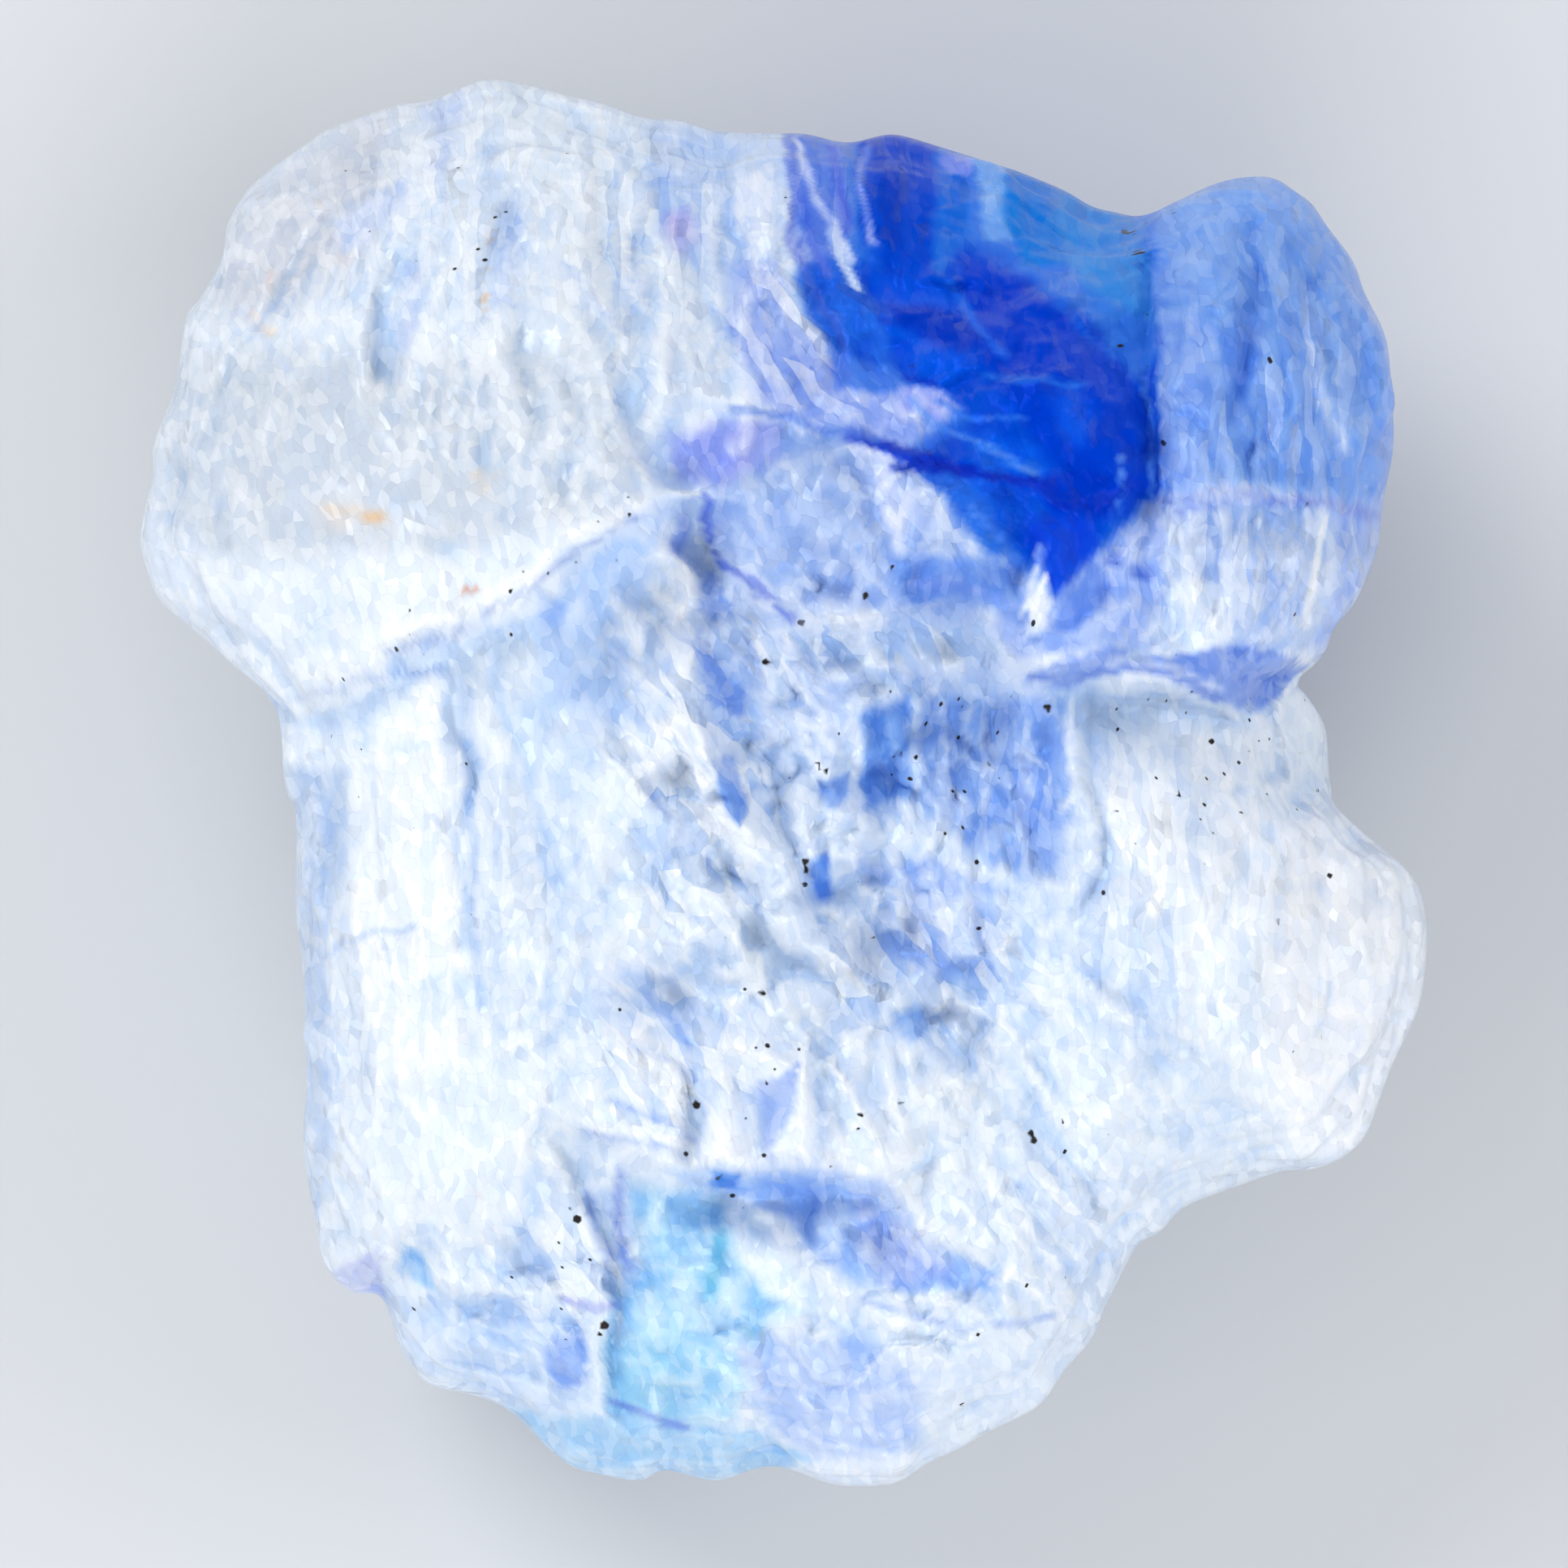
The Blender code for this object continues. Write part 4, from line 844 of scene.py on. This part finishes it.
def paint(mesh):
    """The stone's colours, with painted shade in its pits, hollows and sides and a painted highlight on its
    ridges, and its dirt, as values at its corners.
    """
    points = vertex_values(mesh, "co") / MM
    normals = vertex_values(mesh, "normal")
    edges = edge_ends(mesh)
    x, y, z = points.T
    behind = smooth_step(0, 7, RIM_HEIGHT - z)
    sway, sway_y = (0.14 * noise(points / 1.1, seed) + 0.07 * noise(points / 0.4, seed + 1)
                    + 2.4 * behind * noise(points / 4, seed + 2) for seed in (51, 54))
    x, y = x + sway, y + sway_y
    colours = np.tile(np.array(ICE, float), (len(points), 1))
    for row in AREAS:
        _, colour, softness, *outline = row.split()
        half = 0.5 * float(softness)
        share = smooth_step(-half, half, inside_distance(x, y, outline))
        colours = blended(colours, numbers(colour), share)
    cloud = layered_noise(points / 1.6, 3, 57)
    light = smooth_step(60, 200, colours[:, 0])
    colours = blended(colours, BRIGHT, CLOUD_STRENGTH * light * smooth_step(0.1, 0.6, cloud))
    colours = blended(colours, CLOUD_SHADE, CLOUD_STRENGTH * light * smooth_step(0.1, 0.6, -cloud))
    for *spot, colour, strength in STAINS:
        rough = 0.6 + 0.8 * noise(points / 0.5, 58)
        colours = blended(colours, colour, np.clip(strength * spot_share(x, y, *spot) * rough, 0, 1))
    for row in LINES:
        colour, half_width, strength, *course = row.split()
        half_width, strength = float(half_width), float(strength)
        line = [plan_place(*numbers(corner)) for corner in course]
        away, _ = to_line(x, y, line)
        ends = ends_fade(x, y, line, 0.5)
        share = strength * ends * (1 - smooth_step(0.3 * half_width, 2.2 * half_width, away)) * (z > RIM_HEIGHT)
        colours = blended(colours, numbers(colour), share)
    # Painted shade: the sides that turn away from straight above are tinted darker and bluer
    edge = 1 - smooth_step(0.05, 0.65, normals[:, 2])
    colours = blended(colours, SIDE_SHADE, SIDE_SHADE_STRENGTH * edge * smooth_step(120, 220, colours[:, 0]))
    pale = smooth_step(40, 200, colours[:, 0])

    # Marks for the facets: upright ground in red, slanted ground in green, and paleness in blue
    front = smooth_step(-2.5, 0.5, z - RIM_HEIGHT)
    marks = [spots_share(x, y, spots) * front for spots in (UPRIGHT, SLANTED)]
    add_attribute(mesh, "marks", "FLOAT_COLOR", np.stack(marks + [pale, np.ones(len(x))], axis=1))
    below = np.maximum(RIM_HEIGHT - z, 0)
    facet_places = np.stack([x + 0.6 * below, y + 0.8 * below, np.zeros(len(x))], axis=1)
    add_attribute(mesh, "facet_place", "FLOAT_VECTOR", facet_places)

    # Painted shade darkens pits and hollows towards blue, and ridges get a painted highlight
    near = evened(points, edges, NEAR_ROUNDS)
    wide = evened(near, edges, WIDE_ROUNDS)
    pit_shade = smooth_step(0.0, 0.03, ((near - points) * normals).sum(axis=1))
    ridge_highlight = smooth_step(0.0, 0.03, ((points - near) * normals).sum(axis=1))
    hollow_shade = smooth_step(0.01, 0.25, ((wide - points) * normals).sum(axis=1))
    colours *= 1 - (PIT_SHADE_STRENGTH * pit_shade + HOLLOW_SHADE_STRENGTH * hollow_shade)[:, None] * (1 - np.array(HOLLOW_SHADE_SHARE))
    colours = blended(colours, BRIGHT, ridge_highlight * RIDGE_HIGHLIGHT_STRENGTH * pale)
    add_attribute(mesh, "tint", "FLOAT_COLOR", np.concatenate([linear(colours), np.ones((len(x), 1))], axis=1))
    dust = np.maximum(LEAST_DUST, spots_share(x, y, DUSTY)) * front
    add_attribute(mesh, "dirt", "FLOAT", dirt_share(points[:, 0], points[:, 1], dust) * front)


def vertex_values(mesh, kind):
    values = np.empty(len(mesh.vertices) * 3, np.float32)
    mesh.vertices.foreach_get(kind, values)
    return values.reshape(-1, 3).astype(float)


def set_points(mesh, points):
    mesh.vertices.foreach_set("co", points.astype(np.float32).ravel())
    mesh.update()


def fitted(points):
    """The points in metres, sized to the solid's box and flat where they meet the ground."""
    points = points * MM
    points[:, 2] = np.maximum(points[:, 2], CAD_LOW[2])
    low, high = points.min(axis=0), points.max(axis=0)
    return CAD_LOW + (points - low) * (CAD_HIGH - CAD_LOW) / (high - low)


def edge_ends(mesh):
    ends = np.empty(len(mesh.edges) * 2, np.int32)
    mesh.edges.foreach_get("vertices", ends)
    return ends.reshape(-1, 2)


def calmed(mesh, points):
    """The points, evened where the front falls off steeply, so that its cliffs have no saw teeth."""
    lean = evened(vertex_values(mesh, "normal"), edge_ends(mesh), 4)[:, 2:3]
    steep = smooth_step(0.62, 0.42, lean) * smooth_step(-0.5, 0.5, points[:, 2:3] - RIM_HEIGHT)
    softly = evened(points, edge_ends(mesh), 1)
    return softly + (evened(softly, edge_ends(mesh), 7) - softly) * steep


def stone_object():
    """The stone's fine surface, with no more than MOST_FACES faces."""
    mesh = bpy.data.meshes.new("halite_surface")
    shaper = bmesh.new()
    bmesh.ops.create_icosphere(shaper, subdivisions=SPHERE_LEVEL, radius=1)
    shaper.to_mesh(mesh)
    shaper.free()
    directions = vertex_values(mesh, "co")
    directions /= np.linalg.norm(directions, axis=1)[:, None]
    set_points(mesh, stone_form(directions))
    rough = roughened(vertex_values(mesh, "co"), vertex_values(mesh, "normal"))
    set_points(mesh, rough)
    set_points(mesh, fitted(calmed(mesh, rough)))
    whole = bpy.data.objects.new("halite_whole", mesh)
    bpy.context.scene.collection.objects.link(whole)
    hidden = whole.vertex_groups.new(name="hidden")
    depth = smooth_step(-0.08, 0.25, -directions[:, 2])
    for weight in range(1, 11):
        chosen = np.flatnonzero(np.round(10 * depth) == weight)
        hidden.add(chosen.tolist(), weight / 10, "REPLACE")
    thin = whole.modifiers.new("fewer_faces", "DECIMATE")
    thin.ratio = MOST_FACES / len(mesh.polygons)
    thin.vertex_group = hidden.name
    thin.vertex_group_factor = 1.0
    thinned = bpy.data.meshes.new_from_object(whole.evaluated_get(bpy.context.evaluated_depsgraph_get()))
    bpy.data.objects.remove(whole)
    bpy.data.meshes.remove(mesh)
    thinned.name = "halite_surface"
    thinned.materials.clear()
    set_points(thinned, np.clip(vertex_values(thinned, "co"), CAD_LOW, CAD_HIGH))
    thinned.shade_smooth()
    stone = bpy.data.objects.new("halite_crystal", thinned)
    bpy.context.scene.collection.objects.link(stone)
    return stone


def halite_surface():
    """Cloudy rock salt: light from inside, a glossy broken surface, and grains of dirt."""
    material = bpy.data.materials.new("halite_crystal")
    material.use_nodes = True
    tree = material.node_tree
    shader = tree.nodes["Principled BSDF"]
    for name, value in SALT.items():
        shader.inputs[name].default_value = value

    def node(kind, inputs, **settings):
        """A new node, with its inputs set to a value or linked to another node's output."""
        made = tree.nodes.new("ShaderNode" + kind)
        for name, value in settings.items():
            setattr(made, name, value)
        for key, value in inputs.items():
            if isinstance(value, bpy.types.NodeSocket):
                tree.links.new(value, made.inputs[key])
            else:
                made.inputs[key].default_value = value
        return made

    def math(operation, first, second):
        return node("Math", {0: first, 1: second}, operation=operation).outputs[0]

    def vector(operation, first, second):
        made = node("VectorMath", {0: first, 1: second}, operation=operation)
        return made.outputs["Value" if operation == "DOT_PRODUCT" else "Vector"]

    def rise(value, low, high, least=0.0, most=1.0):
        inputs = {"Value": value, "From Min": low, "From Max": high, "To Min": least, "To Max": most}
        return node("MapRange", inputs).outputs[0]

    def mix(share, first, second, blend="MIX"):
        return node("Mix", {0: share, 6: first, 7: second}, data_type="RGBA", blend_type=blend).outputs[2]

    def attribute(name, output="Color"):
        return node("Attribute", {}, attribute_name=name).outputs[output]

    tint = attribute("tint")
    # Each layer of facets darkens some cells and whitens others, and tilts them all
    shares = node("SeparateColor", {0: attribute("marks")}).outputs
    place = attribute("facet_place", "Vector")
    height = 0.0
    for width, length, turn, mark, strength, steepness in FACETS:
        spin = {"Vector": place, "Rotation": (0, 0, -np.radians(turn)), "Scale": (1, 1, 1)}
        stretched = vector("MULTIPLY", node("Mapping", spin).outputs[0], (1 / width, 1 / length, 0))
        cells = node("TexVoronoi", {"Vector": stretched, "Scale": 1.0}, voronoi_dimensions="2D").outputs
        value = node("SeparateColor", {0: cells["Color"]}).outputs[2]
        share = math("MULTIPLY", shares[mark], strength) if mark else strength
        dark = math("MULTIPLY", rise(value, *DARK_CELLS, *DARK_STRENGTHS), share)
        dark = math("MULTIPLY", dark, math("GREATER_THAN", value, DARK_CELLS[0]))
        shaded = mix(dark, tint, FACET_SHADE, "MULTIPLY")
        bright = math("MULTIPLY", math("LESS_THAN", value, BRIGHT_CELLS), share)
        bright = math("MULTIPLY", bright, math("MULTIPLY", shares["Blue"], BRIGHT_STRENGTH))
        tint = mix(bright, shaded, FACET_LIGHT)
        lean = vector("SUBTRACT", cells["Color"], (0.5, 0.5, 0.5))
        tilt = vector("DOT_PRODUCT", vector("SUBTRACT", stretched, cells["Position"]), lean)
        level = math("MULTIPLY", math("ADD", tilt, math("MULTIPLY", value, FACET_LEVEL)), steepness)
        height = math("ADD", height, math("MULTIPLY", level, shares[mark]) if mark else level)

    covered = rise(attribute("dirt", "Fac"), *GRAIN_EDGE)
    colour = mix(covered, tint, DIRT_COLOUR)
    tree.links.new(colour, shader.inputs["Base Color"])
    tree.links.new(colour, shader.inputs["Specular Tint"])
    bump = node("Bump", {"Strength": 1.0, "Distance": BUMP_HEIGHT, "Height": height})
    tree.links.new(bump.outputs[0], shader.inputs["Normal"])
    return material


def plain_material(name, colour, roughness):
    material = bpy.data.materials.new(name)
    material.use_nodes = True
    shader = material.node_tree.nodes["Principled BSDF"]
    shader.inputs["Base Color"].default_value = (*linear(colour), 1)
    shader.inputs["Roughness"].default_value = roughness
    shader.inputs["Specular IOR Level"].default_value = 0.2
    return material


def pale_floor():
    mesh = bpy.data.meshes.new("floor")
    half = FLOOR_HALF
    corners = [(-half, -half, 0), (half, -half, 0), (half, half, 0), (-half, half, 0)]
    mesh.from_pydata(corners, [], [(0, 1, 2, 3)])
    mesh.materials.append(plain_material("pale_floor", FLOOR_COLOUR, FLOOR_ROUGHNESS))
    floor = bpy.data.objects.new("floor", mesh)
    bpy.context.scene.collection.objects.link(floor)
    return floor


def soft_light(name, place, power):
    """A square soft light at a place in metres, turned to the stone."""
    light = bpy.data.lights.new(name, "AREA")
    light.size, light.energy = LIGHT_SIZE, power
    lamp = bpy.data.objects.new(name, light)
    lamp.location = place
    lamp.rotation_euler = (Vector(place) - Vector((0, 0, 0.01))).to_track_quat("Z", "Y").to_euler()
    bpy.context.scene.collection.objects.link(lamp)


def soft_sky(tree):
    """Even light from all round, weaker straight overhead so that dark colours stay deep."""
    background = tree.nodes["Background"]
    background.inputs["Color"].default_value = (*SKY_COLOUR, 1)
    direction = tree.nodes.new("ShaderNodeTexCoord").outputs["Generated"]
    parts = tree.nodes.new("ShaderNodeSeparateXYZ")
    strength = tree.nodes.new("ShaderNodeMapRange")
    strength.interpolation_type = "SMOOTHSTEP"
    tree.links.new(direction, parts.inputs[0])
    tree.links.new(parts.outputs[2], strength.inputs["Value"])
    for name, value in zip(("From Min", "From Max", "To Min", "To Max"), (*SKY_RISE, *SKY_STRENGTH)):
        strength.inputs[name].default_value = value
    tree.links.new(strength.outputs[0], background.inputs["Strength"])


# Studio: the floor, a soft sky that is weaker overhead, and large lights, with their places in metres and
# their powers in watts
FLOOR_COLOUR = (196, 198, 201)
FLOOR_ROUGHNESS = 0.8
FLOOR_HALF = 0.6
SKY_COLOUR = (0.93, 0.96, 1.0)
SKY_RISE = (0.72, 0.92)
SKY_STRENGTH = (0.70, 0.55)
LIGHT_SIZE = 0.30
LIGHTS = [
    ("key", (-0.34, 0.36, 0.40), 2.3),
    ("right", (0.45, 0.05, 0.30), 1.0),
    ("low", (0.02, -0.46, 0.28), 1.4),
    ("left", (-0.42, -0.22, 0.28), 0.5),
]

# The salt's shading, and the colours of dirt, darker facets and brighter facets
SALT = {"Roughness": 0.24, "IOR": 1.544, "Specular IOR Level": 0.32, "Transmission Weight": 0.22}
DIRT_COLOUR = (0.030, 0.024, 0.020, 1)
FACET_SHADE = (0.56, 0.70, 0.93, 1)
FACET_LIGHT = (0.97, 0.985, 1.0, 1)

# Cells of a layer with a higher value than the first are darker, to the full strength at the second
DARK_CELLS = (0.60, 0.64)
DARK_STRENGTHS = (0.45, 1.0)

# Cells with a lower value than this are brighter, and how strongly on pale ground
BRIGHT_CELLS = 0.3
BRIGHT_STRENGTH = 0.7

# How much the cells differ in level beside their tilt, and the height in metres of a level of 1
FACET_LEVEL = 0.25
BUMP_HEIGHT = 0.00045

# The dirt's values at which its colour starts and is full
GRAIN_EDGE = (0.42, 0.58)

# The camera looks straight down, one metre above the widest outline
CAMERA_DISTANCE = 1.0
SENSOR_WIDTH = 36

scene = bpy.context.scene
stone = stone_object()
paint(stone.data)
stone.data.materials.append(halite_surface())
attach(stone, "root")
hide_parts(NODE_NAME)

pale_floor()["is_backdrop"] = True
world = bpy.data.worlds.new("studio")
scene.world = world
world.use_nodes = True
soft_sky(world.node_tree)
for light in LIGHTS:
    soft_light(*light)

camera = bpy.data.objects.new("camera", bpy.data.cameras.new("camera"))
scene.collection.objects.link(camera)
camera.location = (0, 0, RIM_HEIGHT * MM + CAMERA_DISTANCE)
camera.data.sensor_width = SENSOR_WIDTH
camera.data.lens = SENSOR_WIDTH * CAMERA_DISTANCE / (PHOTO_SIZE * MM_PER_PIXEL * MM)
camera.data.clip_end = 5
scene.camera = camera
scene.view_settings.view_transform = "Standard"
